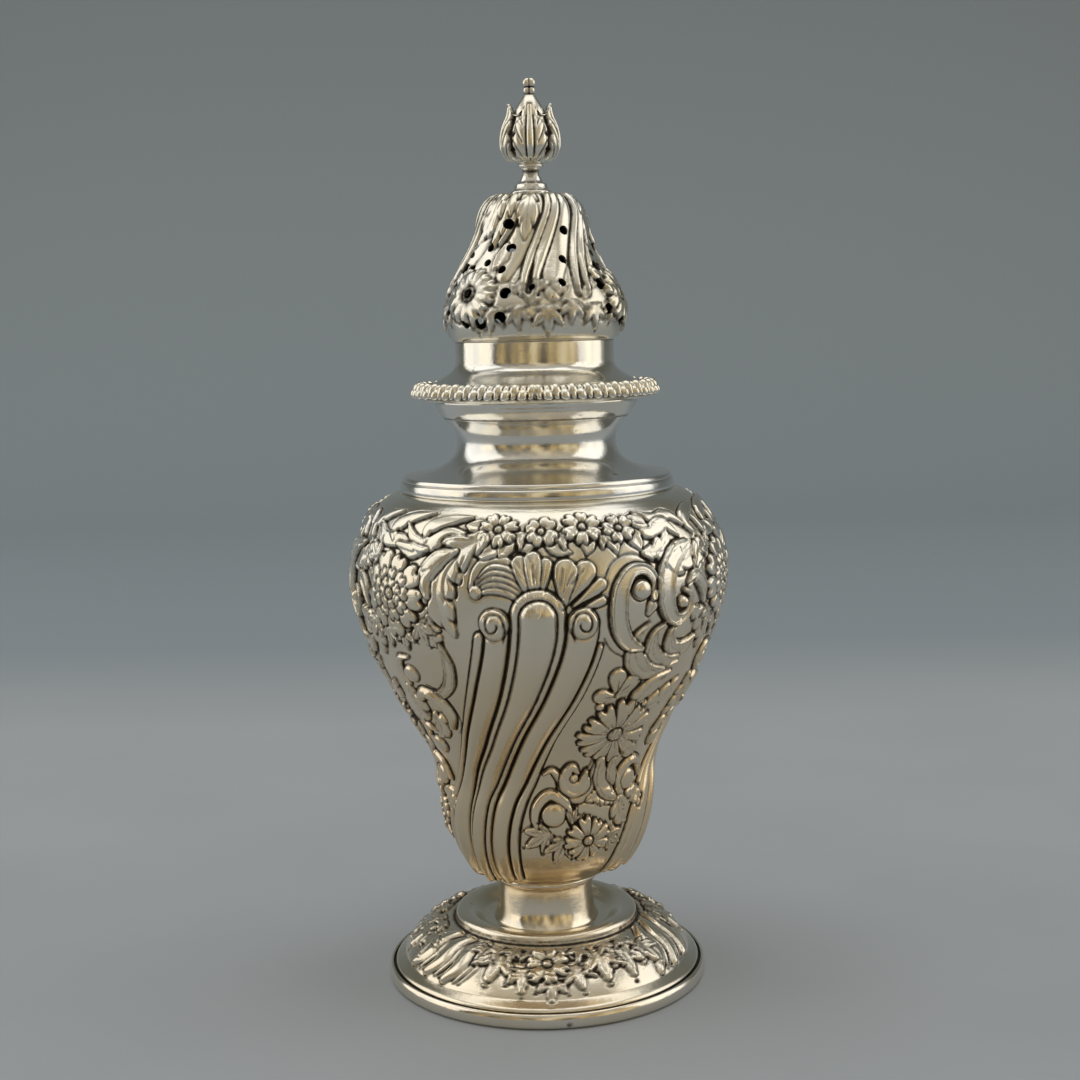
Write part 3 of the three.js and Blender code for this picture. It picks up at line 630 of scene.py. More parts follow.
def settle(chart, fade_foot, fade_top):
    """Softens the chasing slightly, brings it to the plain edges, and darkens what lies low."""
    chart.h = eased(chart.h, 1)
    chart.dark = eased(chart.dark, 1)
    edge = np.clip((chart.s - chart.s[0]) / fade_foot, 0,
                   1) * np.clip((chart.s[-1] - chart.s) / fade_top, 0, 1)
    chart.h *= edge[:, None]
    low = eased(chart.h, 14) - chart.h
    chart.dark = np.clip(chart.dark * 0.85 + np.clip(low - 0.08, 0, 1) * 1.1, 0, 1)


def surface(chart, copies, close=False):
    """Points and normals of the chased surface for panels side by side; close repeats the first column."""
    turns = np.concatenate([chart.u + k * chart.period for k in copies])
    h, dark = np.tile(chart.h, len(copies)), np.tile(chart.dark, len(copies))
    slope_u = (np.roll(chart.h, -1, 1) - np.roll(chart.h, 1, 1)) / (2 * (chart.u[1] - chart.u[0]))
    slope_u = np.tile(slope_u / chart.mm[:, None], len(copies))
    slope_s = np.tile(np.gradient(chart.h, chart.s, axis=0), len(copies))
    if close:
        turns = np.append(turns, turns[0] + len(copies) * chart.period)
        h, dark, slope_u, slope_s = (np.hstack([a, a[:, :1]]) for a in (h, dark, slope_u, slope_s))
    nr, nz = chart.nr[:, None], chart.nz[:, None]
    points = around(chart.r[:, None] + nr * h, turns[None, :], chart.z[:, None] + nz * h)
    out, rise = nr + slope_s * nz, nz - slope_s * nr
    angle = np.radians(turns)[None, :]
    normals = np.stack([out * np.sin(angle) - slope_u * np.cos(angle),
                        -out * np.cos(angle) - slope_u * np.sin(angle),
                        np.broadcast_to(rise, out.shape)], -1)
    normals /= np.linalg.norm(normals, axis=-1, keepdims=True)
    return points, normals, dark


def loop_of(rows, columns, start=0):
    """Numbers of the points round a grid's border: foot, right side, top, left side."""
    n = np.arange(rows * columns).reshape(rows, columns) + start
    return np.concatenate([n[0, :-1], n[:-1, -1], n[-1, :0:-1], n[:0:-1, 0]])


def lace(fine, coarse):
    """Triangles that close the gap between a fine loop and a coarse one that runs beside it."""
    ratio = len(fine) // len(coarse)
    # a fine edge meets the coarse point nearest to its start, and where that changes a coarse edge closes
    a = np.arange(len(fine))
    first = np.stack([fine[(a + 1) % len(fine)], fine[a],
                      coarse[((a + ratio // 2) // ratio) % len(coarse)]], 1)
    b = np.arange(len(coarse))
    meet = (b * ratio + ratio - ratio // 2) % len(fine)
    second = np.stack([coarse[b], coarse[(b + 1) % len(coarse)], fine[meet]], 1)
    return np.vstack([first, second])


# %% [markdown]
# ## The vase
#
# The baluster body is one raised shell. Its pattern fills a third of the way round and comes three
# times. One repeat is a swirling group of five flutes under an arch, with a palmette over it, scrolls and
# a spray of flowers to the right and a large peony to the left. The body is a fine mesh of six curved
# panels, two to a repeat, whose shared edges carry the same points and the same normals, so no seam
# shows. The palmette comes first, as the flutes and their arch overlap its foot.

# %% Vase pattern: palmette and flutes
vase_outline = joined(
    curve((11.6, VASE), (17.6, VASE + 0.4), (23.4, 32.5), (23.4, 46.0), 60),
    curve((23.4, 46.0), (23.4, 58.0), (41.2, 72.0), (41.2, 92.0), 120),
    np.stack([30.2 + 11.0 * np.cos(np.linspace(0, np.pi / 2, 80)),
              92 + 18.9 * np.sin(np.linspace(0, np.pi / 2, 80))], 1))
SINK = 0.35                        # the ground lies this far under the outline, and the relief over it
COARSE = 6                         # the plain inside has every sixth row and column of the outside
HALVES = 2                         # a repeat of the pattern is built as two pieces side by side
vase = Chart(vase_outline, 73 * COARSE + 1, 72 * COARSE)
handwork(vase, 0.08)

# palmette: a ribbed lobe that rolls to the left, three small lobes over the arch, a heart to the right
leaf(vase, (9.5, 91.0), (17.6, 95.0), 1.4, 0.8, lobes=0, section="lobe", fan=True)
leaf(vase, (11.0, 90.0), (18.0, 91.6), 1.0, 0.7, lobes=0, section="lobe", fan=True)
stroke(vase, [(-3, 91), (-8.6, 97.0), (-12.6, 99.4), (-17.0, 97.8), (-19.0, 94.8)],
       [1.2, 2.4, 2.7, 2.3, 1.2], 0.7, "lobe")
for k in range(5):
    drop = 1.15 * k
    rib = [(-4.0 + 0.3 * k, 95.2 - drop), (-9.4, 98.6 - drop * 1.05), (-13.6, 98.8 - drop),
           (-18.0, 95.8 - 0.5 * drop)]
    stroke(vase, rib, [0.4, 0.7, 0.75, 0.4], 0.7, "round", groove=0.15)
boss(vase, (-18.4, 93.8), 1.4, 1.0)
for tip, width in (((-5.6, 99.8), 1.7), ((1.8, 99.4), 1.5), ((-1.9, 100.6), 1.7)):
    leaf(vase, (-1.2, 90), tip, width, 1.0, lobes=0, section="lobe", fan=True)
for tip, width in (((13.2, 97.8), 2.3), ((7.4, 98.2), 2.4)):
    leaf(vase, (6.4, 91), tip, width, 1.1, lobes=0, section="lobe", fan=True)
for points in ([(5.6, 94.6), (6.2, 96.8), (6.6, 98.8)], [(8.4, 95.0), (11.0, 97.0), (12.8, 98.2)],
               [(7.4, 94.8), (8.8, 96.8), (10.0, 98.0)], [(-1.6, 95.4), (-1.8, 97.8), (-1.9, 99.8)]):
    line_cut(vase, points, 0.2, 0.2, 0.8)

# Turn in degrees of the flutes' six shared edges at each height in mm, and the heights of their ends
HEIGHTS = [24.2, 26, 30, 35, 40, 45, 50, 60, 72, 84, 92]
EDGES = [
    [-73.2, -72.5, -70.5, -68.0, -64.4, -59.5, -51.5, -37.2, -26.0, -20.0, -18.8],
    [-67.2, -66.5, -64.6, -62.0, -59.2, -53.7, -46.5, -33.9, -22.6, -16.6, -16.2],
    [-49.9, -49.5, -48.6, -47.0, -44.6, -41.4, -37.1, -24.3, -13.6, -9.1, -8.6],
    [-34.3, -34.0, -33.2, -31.6, -29.2, -26.0, -19.8, -8.8, 2.0, 7.2, 7.4],
    [-22.9, -22.6, -22.0, -21.0, -18.8, -15.2, -9.0, 1.4, 12.0, 17.0, 17.0],
    [-16.4, -16.2, -15.7, -14.9, -13.0, -9.4, -3.7, 5.1, 14.8, 19.4, 20.4],
]
TOPS = [85.6, 90.2, 94.6, 90.2, 82.6]
FEET = [25.6, 25.2, 24.8, 25.2, 25.6]
for k in (0, 4, 1, 3, 2):          # from the outside in, as each lies over its outer neighbour
    tongue(vase, HEIGHTS, EDGES[k], EDGES[k + 1], TOPS[k], FEET[k], 0.8 if k in (0, 4) else 1.5)
# The middle one is the arch, and a last flute lies inside it, this many mm from its edges
ARCH = [1.3, 1.4, 1.4, 1.4, 1.4, 1.45, 1.5, 1.65, 1.8, 1.9, 1.9]
reach = [wide / float(np.radians(np.interp(z, vase.z, vase.r))) for z, wide in zip(HEIGHTS, ARCH)]
inner_left = [edge + r for edge, r in zip(EDGES[2], reach)]
inner_right = [edge - r for edge, r in zip(EDGES[3], reach)]
tongue(vase, HEIGHTS, inner_left, inner_right, 92.4, 25.8, 1.7)
for way, middle in ((-1, -13.2), (1, 12.2)):     # the volutes at the arch's two shoulders
    boss(vase, (middle, 87.4), 3.2, 1.5)
    spiral = [(-2.2, -4.4), (-3.2, -0.4), (-1.6, 2.0), (1.0, 2.0), (2.2, 0.2), (1.2, -1.5), (-0.6, -1.2),
              (-1.2, 0.1), (-0.3, 0.9)]
    line_cut(vase, [(middle + way * t, 87.4 + z) for t, z in spiral], 0.3, 0.5, 1.0)
print("flutes laid:", len(TOPS))

# %% [markdown]
# Under the shoulder band runs a fringe of feathery leaves, and the garland of small flowers hangs in
# front of it.

# %% Vase pattern: shoulder and garland
FEATHERS = [
    ([(-22, 108.4), (-30, 107.6), (-37, 105.4), (-36, 103.4)], [0.4, 1.4, 1.8, 0.5]),
    ([(-37, 108.8), (-46, 107.8), (-52, 105.4), (-50, 103.2)], [0.4, 1.4, 1.9, 0.5]),
    ([(-53, 108.8), (-60, 107.8), (-66, 105.2), (-64, 103.2)], [0.4, 1.4, 1.8, 0.5]),
    ([(-20, 104.6), (-28, 105.2), (-36, 102.6), (-41, 103.6), (-46, 106.6)], [0.5, 1.6, 1.9, 1.4, 0.3]),
    ([(-40, 101.6), (-47, 103.2), (-55, 103.4), (-61, 106.2)], [0.5, 1.7, 1.7, 0.4]),
    ([(33, 108.4), (41, 106.8), (47, 107.4), (52, 105.0)], [0.4, 1.5, 1.5, 0.4]),
    ([(28, 106.6), (36, 104.6), (43, 105.6), (48, 103.0)], [0.5, 1.7, 1.8, 0.4]),
]
for points, width in FEATHERS:
    stroke(vase, points, width, 0.8, "lobe")
for base, tip, bow in [
        ((-11, 105.4), (-19.6, 101.4), 0.2), ((-9, 105.0), (-11.6, 101.0), 0.1),
        ((3, 105.6), (9.6, 101.6), -0.2), ((-2, 105.6), (-6.0, 102.0), 0.1),
        ((14, 105.6), (14.0, 101.0), 0.1), ((17, 105.6), (23.6, 100.8), 0.2),
        ((27, 105.6), (31.6, 101.0), 0.1), ((-15, 107.4), (-23.4, 107.0), 0.1),
        ((29, 107.0), (36.0, 105.6), 0.1)]:
    leaf(vase, base, tip, 1.9, 0.8, lobes=0, bow=bow)
for turn, z, size, aim in ((-5.6, 105.8, 4.0, 178), (6.6, 105.6, 4.2, 170), (19.6, 105.4, 4.0, 185)):
    maple(vase, (turn, z), size, aim, 0.8, points=3, spread=48)
for centre, radius, petals in [((-12.4, 106.2), 4.2, 7), ((0.8, 105.8), 3.7, 4), ((13.6, 106.4), 4.2, 6),
                               ((25.4, 105.8), 3.6, 5)]:
    flower(vase, centre, radius, petals, 0.9, turn=0.1, heart=0.2, notch=0.16, blunt=3.0, gap=0.36)

# %% [markdown]
# To the right of the flutes stand two C-scrolls, hollow ribbon bands with a rolled eye, set on a
# bed of acanthus.

# %% Vase pattern: scrolls to the right
for base, tip, width, rise, lobes, bow in [
        ((38, 99.4), (56, 101.4), 3.2, 0.9, 3, -0.2), ((33, 100.4), (43, 104.4), 2.6, 0.9, 2, -0.2),
        ((53, 96), (64, 100), 2.8, 0.9, 3, 0.2), ((35, 66.6), (50.5, 76.0), 3.4, 0.8, 2, 0.12),
        ((40, 66.0), (56.0, 71.6), 2.8, 0.8, 3, -0.1), ((52, 87), (60, 78), 3.2, 0.9, 3, 0.2)]:
    leaf(vase, base, tip, width, rise, lobes, bow)
for path, width in [
        ([(45.4, 85.6), (42.8, 83.2), (43.6, 80.0), (49.0, 79.0), (55, 81.4)], [0.3, 1.2, 2.1, 2.0, 0.4]),
        ([(39.6, 85.6), (36.0, 83.2), (36.2, 79.4), (41.4, 76.8), (48, 77.8)], [0.3, 1.4, 2.4, 2.2, 0.4]),
        ([(33.6, 86.0), (29.6, 83.0), (29.8, 78.8), (34.4, 75.6), (43, 75.4)], [0.3, 1.5, 2.6, 2.3, 0.4])]:
    stroke(vase, path, width, 1.2, "leaf", rim=0.75)
stroke(vase, [(47.0, 74.4), (39.5, 72.8), (34.6, 69.4), (32.6, 66.6)], [0.4, 1.1, 1.1, 0.4], 0.9, rim=0)
leaf(vase, (33.0, 88.0), (37.4, 93.4), 1.6, 0.7, lobes=0)
scroll(vase, [(32.0, 80.8), (26.8, 82.2), (23.6, 85.6), (22.8, 90.0), (24.0, 94.4), (27.6, 97.2),
              (32.0, 97.2), (34.9, 94.6), (34.2, 91.4)],
       [0.5, 1.7, 2.0, 2.0, 1.9, 1.6, 1.3, 1.1, 0.8], 1.5, (30.2, 93.2), 2.2)
scroll(vase, [(51.0, 101.4), (44.4, 99.8), (40.2, 96.6), (38.9, 92.2), (39.9, 88.4), (43.2, 86.1),
              (47.0, 86.3), (49.8, 88.6), (49.4, 91.0), (47.2, 91.8)],
       [0.8, 2.0, 2.4, 2.5, 2.4, 2.1, 1.6, 1.1, 0.8, 0.6], 1.6, (45.8, 89.5), 1.3, "hollow", 0.7)
stroke(vase, [(49.0, 93.2), (51.8, 94.6), (55.8, 92.6), (57.5, 88.5)], [0.4, 1.6, 1.7, 0.5], 1.2, "hollow",
       rim=0.6)
line_cut(vase, [(18.6, 95.4), (21.2, 98.8), (25.5, 100.5), (30.6, 100.2), (35.6, 97.4)], 0.28, 0.3)
line_cut(vase, [(18.6, 84.0), (21.4, 80.9), (26.6, 78.8)], 0.3, 0.3)

# %% [markdown]
# Below the scrolls a spray hangs down beside the flutes: a bud, a daisy, rolled leaves and a last
# small scroll.

# %% Vase pattern: the spray
for tip, width in (((25.4, 74.8), 2.0), ((20.8, 70.4), 1.8), ((30.8, 73.2), 1.8)):
    leaf(vase, (26.2, 70.4), tip, width, 0.9, lobes=0, section="lobe", fan=True)
for points in ([(26.0, 71.0), (25.5, 74.4)], [(25.0, 70.4), (21.6, 70.4)], [(27.2, 71.2), (30.4, 73.0)]):
    line_cut(vase, [points[0], tuple(np.mean(points, 0)), points[1]], 0.2, 0.2)
boss(vase, (21.4, 67.8), 1.0, 0.7)
for base, tip, width, rise, lobes, bow, section in [
        ((26, 66.0), (17.0, 62.4), 2.0, 0.7, 0, 0.15, "leaf"),
        ((36, 67), (47, 64.0), 2.8, 0.8, 3, -0.2, "leaf"),
        ((39, 60.0), (48.0, 57.6), 3.0, 0.9, 0, 0.1, "lobe"),
        ((39, 56.5), (49, 52.6), 2.2, 0.7, 2, 0.2, "leaf"),
        ((29, 54.6), (22.0, 52.4), 1.8, 0.7, 0, 0.2, "leaf")]:
    leaf(vase, base, tip, width, rise, lobes, bow, section)
flower(vase, (31.2, 60.9), 8.4, 11, 0.9, turn=0.03, heart=0.2, notch=0.13, cup=0.4, gap=0.34)
stroke(vase, [(26.0, 53.8), (25.2, 50.0), (21.8, 46.8), (16.4, 46.1), (11.0, 47.4), (7.8, 51.0),
              (3.6, 53.0), (0.0, 52.2)],
       [0.4, 1.1, 1.6, 1.5, 1.2, 0.9, 0.9, 0.4], 1.0)
stroke(vase, [(21.6, 52.2), (19.6, 48.8), (14.0, 48.6), (11.4, 51.4), (14.0, 53.6), (17.0, 52.2)],
       [0.5, 1.6, 2.0, 1.7, 1.2, 0.6], 1.1, "lobe")
boss(vase, (15.6, 51.0), 1.0, 1.2)
leaf(vase, (24.4, 45.6), (40.6, 43.2), 2.4, 0.8, lobes=4, bow=0.2)
stroke(vase, [(28.2, 55.0), (30.4, 50.4), (35.6, 46.6), (43.4, 44.2)], [0.9, 2.0, 2.0, 0.3], 1.1, "lobe",
       rim=0.7)
stroke(vase, [(35.6, 54.4), (37.0, 50.8), (43.0, 47.0)], [0.8, 1.7, 0.4], 1.0, "lobe", rim=0.6)
scroll(vase, [(61.0, 48.4), (56.0, 52.0), (50.0, 52.8), (44.6, 50.6), (43.8, 46.6), (46.6, 43.0)],
       [0.5, 1.1, 1.4, 1.4, 1.1, 0.4], 1.1, (50.2, 48.4), 2.5, "round", 0)
leaf(vase, (52, 45), (63, 41), 2.4, 0.8, lobes=3, bow=0.2)
leaf(vase, (44, 44.4), (52, 38.4), 2.4, 0.8, lobes=3, bow=-0.2)
scroll(vase, [(-2.0, 38.4), (-5.0, 41.4), (-2.8, 45.2), (3.2, 47.2), (9.2, 46.0), (13.2, 43.2),
              (15.0, 40.4)],
       [0.3, 0.9, 1.2, 1.3, 1.3, 1.1, 0.5], 0.9, (5.0, 42.6), 2.7, "round", 0)
for base, size, aim in (((37.0, 36.4), 5.6, 120), ((2.4, 38.6), 7.0, 235), ((11.4, 36.6), 6.8, 200)):
    maple(vase, base, size, aim, 0.8)
maple(vase, (14.6, 40.6), 3.8, 20, 0.7, points=3)
flower(vase, (24.6, 36.2), 5.4, 9, 0.9, turn=0.05, heart=0.2, notch=0.13, cup=0.4, gap=0.34)

# %% [markdown]
# To the left a large peony sits on the widest part, laid as three rings of blunt petals of which each
# lies on the one before, and a long acanthus leaf falls beside it.

# %% Vase pattern: peony and acanthus
leaf(vase, (-34, 88), (-31.0, 81.2), 2.6, 0.8, lobes=3, bow=-0.1)
for turn, z, size, aim in ((-38.0, 86.6, 5.8, 160), (-45.0, 84.8, 5.2, 178), (-52.0, 84.8, 5.2, 186),
                           (-58.0, 86.6, 5.4, 205), (-57.0, 99.0, 5.2, 320)):
    maple(vase, (turn, z), size, aim, 0.8, spread=46)
leaf(vase, (-17.6, 104.2), (-25.4, 84.6), 5.0, 1.2, lobes=5, bow=-0.3)
for points in ([(-23.4, 101.4), (-27.6, 96.6), (-27.6, 91.0)],
               [(-21.4, 101.0), (-24.2, 96.4), (-24.6, 91.6)]):
    line_cut(vase, points, shade=0.8)
stroke(vase, [(-24.6, 101.8), (-31.0, 99.6), (-34.6, 96.2), (-33.6, 92.6)], [0.6, 2.1, 2.3, 0.8], 1.1,
       "lobe", rim=0.8)
stroke(vase, [(-35.0, 101.8), (-41.0, 101.4), (-47.0, 102.4)], [0.6, 1.9, 0.8], 0.9, "lobe")
PEONY = (-47.9, 92.4)
flower(vase, PEONY, 9.0, 9, 0.9, turn=0.02, heart=0.4, notch=0.1, cup=0.6, blunt=4.0, gap=0.22)
flower(vase, PEONY, 5.6, 9, 0.8, turn=0.55, heart=0.4, notch=0.14, cup=0.6, blunt=4.0, gap=0.26)
flower(vase, PEONY, 3.4, 7, 0.8, turn=0.08, heart=0.34, notch=0.12, cup=0.3, crumb=0.2, gap=0.3)
stroke(vase, [(-31.4, 82.4), (-30.2, 77.0), (-32.8, 72.6), (-38.0, 70.4), (-43.6, 70.6)],
       [0.4, 1.2, 1.4, 1.2, 0.5], 1.0, "hollow", rim=0.6)
scroll(vase, [(-46.6, 78.4), (-51.4, 77.8), (-53.6, 74.8), (-51.4, 72.0)], [0.4, 1.0, 1.1, 0.5], 0.9,
       (-48.2, 74.4), 2.1, "round", 0)
boss(vase, (-52.6, 69.0), 1.2, 0.8)
scroll(vase, [(-50.4, 64.6), (-50.6, 68.2), (-45.6, 70.2), (-39.8, 68.6), (-37.4, 65.2), (-39.0, 62.4)],
       [0.5, 1.2, 1.7, 1.7, 1.4, 0.7], 1.2, (-42.0, 64.4), 1.3, "soft", 0)
line_cut(vase, [(-45.0, 72.6), (-38.2, 70.8), (-34.6, 66.8), (-35.0, 62.4), (-38.6, 60.4)])
leaf(vase, (-46, 65), (-52.4, 59.0), 2.2, 0.8, lobes=2, bow=0.2)
leaf(vase, (-54, 71), (-60, 62.5), 2.8, 0.8, lobes=3, bow=0.2)
scroll(vase, [(-51.6, 60.6), (-57.0, 61.4), (-61.0, 58.8)], [0.4, 1.1, 0.6], 0.9, (-56.0, 56.8), 2.3,
       "round", 0)
settle(vase, fade_foot=2.0, fade_top=0.8)
vase.h -= SINK * np.clip((vase.s[-1] - vase.s) / 4, 0, 1)[:, None] * np.clip(vase.s / 6, 0, 1)[:, None]
print("vase relief from %.2f to %.2f mm" % (vase.h.min(), vase.h.max()))

# %% [markdown]
# The chart is bent round the axis and cut into six panels. Behind each lies a plain inside with far fewer
# points, and a strip of triangles joins the two round all four sides, so each panel is a closed solid.

# %% Vase panels
SHEET = 2.0                        # the inside lies this far under the outline, below the deepest line
MOUTH, SEAT = 28.0, 9.9            # inner radius where the shoulder band and the ring cover the edges
whole, whole_normals, whole_dark = surface(vase, range(PANELS), close=True)
columns = len(vase.u) // HALVES
rows = len(vase.s)
inner_r, inner_z = (vase.r - vase.nr * SHEET)[::COARSE], (vase.z - vase.nz * SHEET)[::COARSE]
inner_r[-1], inner_z[-1] = MOUTH, SHOULDER
inner_r[0], inner_z[0] = SEAT, VASE
for index in range(PANELS * HALVES):
    part = np.s_[:, index * columns:(index + 1) * columns + 1]
    points, normals, dark = whole[part], whole_normals[part], whole_dark[part]
    column = index * columns + np.arange(columns + 1)
    inner_turns = (vase.u[0] + column * vase.period / len(vase.u))[::COARSE]
    inner = around(inner_r[:, None], inner_turns[None, :], inner_z[:, None])
    inner_out = around(-vase.nr[::COARSE, None], inner_turns[None, :], -vase.nz[::COARSE, None])
    m, n = inner.shape[:2]
    count = rows * (columns + 1)
    faces = np.vstack([grid_faces(rows, columns + 1), grid_faces(m, n, count)[:, ::-1]])
    laces = lace(loop_of(rows, columns + 1), loop_of(m, n, count))
    panel = build(f"vase_panel_{index + 1}", np.vstack([points.reshape(-1, 3), inner.reshape(-1, 3)]),
                  faces, laces, np.concatenate([dark.ravel(), np.full(m * n, 0.25)]),
                  np.vstack([normals.reshape(-1, 3), inner_out.reshape(-1, 3)]))
    fit(panel, "vessel", "vase_body", chased)

floor_outline = softened(np.array([(0.02, VASE), (10.3, VASE), (10.3, VASE + 0.9), (0.02, VASE + 0.9)]))
fit(turned("vase_floor_silver", floor_outline, segments=96), "vessel", "vase_body", polished)

# %% [markdown]
# ## The foot
#
# The foot is a low spun dome. A plain band runs inside the rim, then comes the chased cone with
# strands and leaves, then a round moulding and the dish in which the stem stands.

# %% Foot dome
CONE, STEP = 5.2, 12.9             # heights where the chased cone starts and where the moulding stands on it
foot_outline = joined(
    [(34.7, 3.2)], curve((34.7, 3.5), (34.6, 3.9), (34.3, 4.1), (33.9, 4.3), 8),
    curve((33.9, 4.3), (33.3, 4.6), (32.8, 4.9), (32.4, 5.2), 8),
    curve((32.4, 5.2), (30.8, 8.0), (26.2, 12.0), (21.4, 12.9), 60),
    curve((21.4, 12.9), (20.9, 13.0), (20.7, 13.2), (20.7, 13.5), 8),
    curve((20.7, 13.5), (20.8, 14.7), (19.6, 15.1), (18.2, 15.0), 16),
    curve((18.2, 15.0), (16.4, 14.8), (15.0, 12.9), (14.0, 12.75), 24),
    [(12.0, 12.7)])
foot = Chart(foot_outline, 30 * COARSE + 1, 28 * COARSE)


def foot_point(turn, climb):
    """Point of the cone as turn and height; climb runs from 0 at the plain band to 1 under the moulding."""
    return turn, CONE + (STEP - CONE) * climb


for k in range(3):                 # three groups of strands: a broad one, then two narrow ones
    turn = -66 + 11.4 * k
    for off, width, rise in ((0, 2.3, 0.8), (5.4, 0.6, 0.6), (8.0, 0.5, 0.5)):
        path = [foot_point(turn + off + 8.0, 0.95), foot_point(turn + off + 3.4, 0.78),
                foot_point(turn + off + 2.4, 0.5), foot_point(turn + off - 2.4, 0.14)]
        stroke(foot, path, [0.6 * width, width, width, 0.5 * width], rise, "soft")
for turn, climb, size, aim in ((-31, 0.9, 5.0, 200), (49, 0.78, 6.4, 160), (-22, 0.84, 7.6, 194),
                               (38, 0.8, 7.2, 182), (-11, 0.62, 5.8, 176), (12, 0.66, 6.2, 168),
                               (25, 0.84, 7.6, 178), (2, 0.46, 5.6, 184)):
    maple(foot, foot_point(turn, climb), size, aim, 0.9, points=5, spread=44, deep=0.46)
for turn, aim in ((-27, 170), (-16, 195), (-8, 170), (7, 185), (17, 195), (31, 172), (43, 190)):
    maple(foot, foot_point(turn, 0.95), 4.6, aim, 0.9, deep=0.46)
flower(foot, foot_point(0, 0.72), 4.8, 7, 1.1, turn=0.08, heart=0.2, notch=0.16, blunt=3.0, gap=0.4)
settle(foot, 0.5, 0.5)
groove = np.exp(-((foot.z - 13.0) / 0.2) ** 2) * (foot.r > 20)     # the line at the moulding's foot
foot.h -= 0.22 * groove[:, None]
foot.dark = np.maximum(foot.dark, np.clip(groove, 0, 1)[:, None] * 0.8)


def closed_ring(chart, name, inner_outline):
    """Whole ring: the chased outside, a plain inside with fewer points, and laces between their rims."""
    points, _, dark = surface(chart, range(round(360 / chart.period)))
    rows, columns = dark.shape
    n = columns // COARSE
    turns = np.concatenate([chart.u + k * chart.period for k in range(round(360 / chart.period))])[::COARSE]
    inner = around(inner_outline[:, :1], turns[None, :], inner_outline[:, 1:])
    m = len(inner_outline)
    count = rows * columns
    faces = np.vstack([grid_faces(rows, columns, wrap_columns=True),
                       grid_faces(m, n, count, wrap_columns=True)[:, ::-1]])
    fine = np.arange(count).reshape(rows, columns)
    coarse = np.arange(m * n).reshape(m, n) + count
    laces = np.vstack([lace(fine[0], coarse[0]), lace(fine[-1][::-1], coarse[-1][::-1])])
    recess = np.concatenate([dark.ravel(), np.full(m * n, 0.3)])
    return build(name, np.vstack([points.reshape(-1, 3), inner.reshape(-1, 3)]), faces, laces, recess)


foot_under = np.array([(33.9, 3.2), (31.8, 4.6), (27.5, 8.6), (20.4, 12.0), (19.4, 13.6), (16.0, 12.0),
                       (12.0, 11.9), (10.4, 11.9), (10.4, 12.7)])
fit(closed_ring(foot, "foot_dome_chased", foot_under), "vessel", "foot_dome", chased)

# %% [markdown]
# ## The pierced cover dome
#
# The bell-shaped dome is embossed with slanting strands, a daisy and a fringe of leaves, then pierced
# with round holes that let the sugar through. The outer and inner walls are one grid of points each.
# Cells inside a hole are left out, the points on its edge are moved onto the circle, and a wall joins
# the two sides there.

# %% Dome pattern
dome_outline = joined(
    curve((17.5, DOME), (19.0, DOME + 0.8), (19.7, DOME + 2.9), (19.7, DOME + 5.8), 30),
    curve((19.7, DOME + 5.8), (19.7, DOME + 10.6), (13.8, DOME + 17.2), (12.2, DOME + 23), 60),
    curve((12.2, DOME + 23), (11.3, DOME + 26.8), (10.8, COLLET - 1.9), (8.0, COLLET - 0.6), 40),
    curve((8.0, COLLET - 0.6), (7.0, COLLET - 0.2), (6.1, COLLET), (4.7, COLLET), 12))
dome = Chart(dome_outline, 121, 128)
handwork(dome, 0.04)
# One strand of the dome from crown to foot, which the others repeat further round
SLANT = [(24.0, 174.7), (17.5, 170.6), (12.5, 168.2), (4.5, 164.2), (-1.8, 160.8), (-5.6, 157.4),
         (-7.2, 153.4)]
for shift, last in ((20.0, 7), (-16.0, 6), (57.0, 6)):
    path = [(t + shift, z) for t, z in SLANT[:last]]
    stroke(dome, path, [1.0, 1.9, 2.6, 3.0, 1.8], 0.6, "soft", groove=0.1)
for shift, last in ((0.0, 7), (38.0, 7), (-43.0, 4)):
    for k in (0, 1):
        path = [(t + shift + 8.0 * k, z) for t, z in SLANT[:last]]
        stroke(dome, path, [0.7, 0.95, 1.1, 1.15, 0.7], 0.9)
for base, tip, width, rise, lobes, bow in [
        ((-1, 174.4), (-7.5, 164.6), 2.4, 0.6, 2, 0.0), ((-18, 174.4), (-37, 163.0), 2.2, 0.8, 3, -0.06),
        ((-42, 174.4), (-60, 164.0), 2.6, 0.7, 3, 0.1), ((-24, 163.6), (-33, 158.6), 1.9, 0.7, 0, 0.1),
        ((49, 158), (62, 150.6), 2.8, 0.8, 3, 0.2), ((-60, 159), (-58, 150.6), 2.2, 0.7, 2, 0.2)]:
    leaf(dome, base, tip, width, rise, lobes, bow)
for turn, z, size in ((-12, 153.6, 3.6), (-2, 151.2, 3.6), (4, 154.2, 3.2), (16, 153.2, 3.8),
                      (34, 152.2, 3.6), (44, 154.6, 3.2)):
    maple(dome, (turn, z), size, 15, 0.6, points=3)
for turn, z, size, aim in ((-26, 150.6, 5.8, 190), (40, 151.0, 5.8, 172), (-11, 150.6, 5.0, 172),
                           (25, 151.8, 5.2, 186), (57, 151.4, 4.8, 190), (9, 150.6, 6.4, 180),
                           (-37, 148.0, 3.4, 185)):
    maple(dome, (turn, z), size, aim, 0.8, deep=0.5)
flower(dome, (-45.0, 153.4), 6.4, 12, 0.9, turn=0.02, heart=0.24, notch=0.14, cup=0.4)
settle(dome, 0.8, 4)

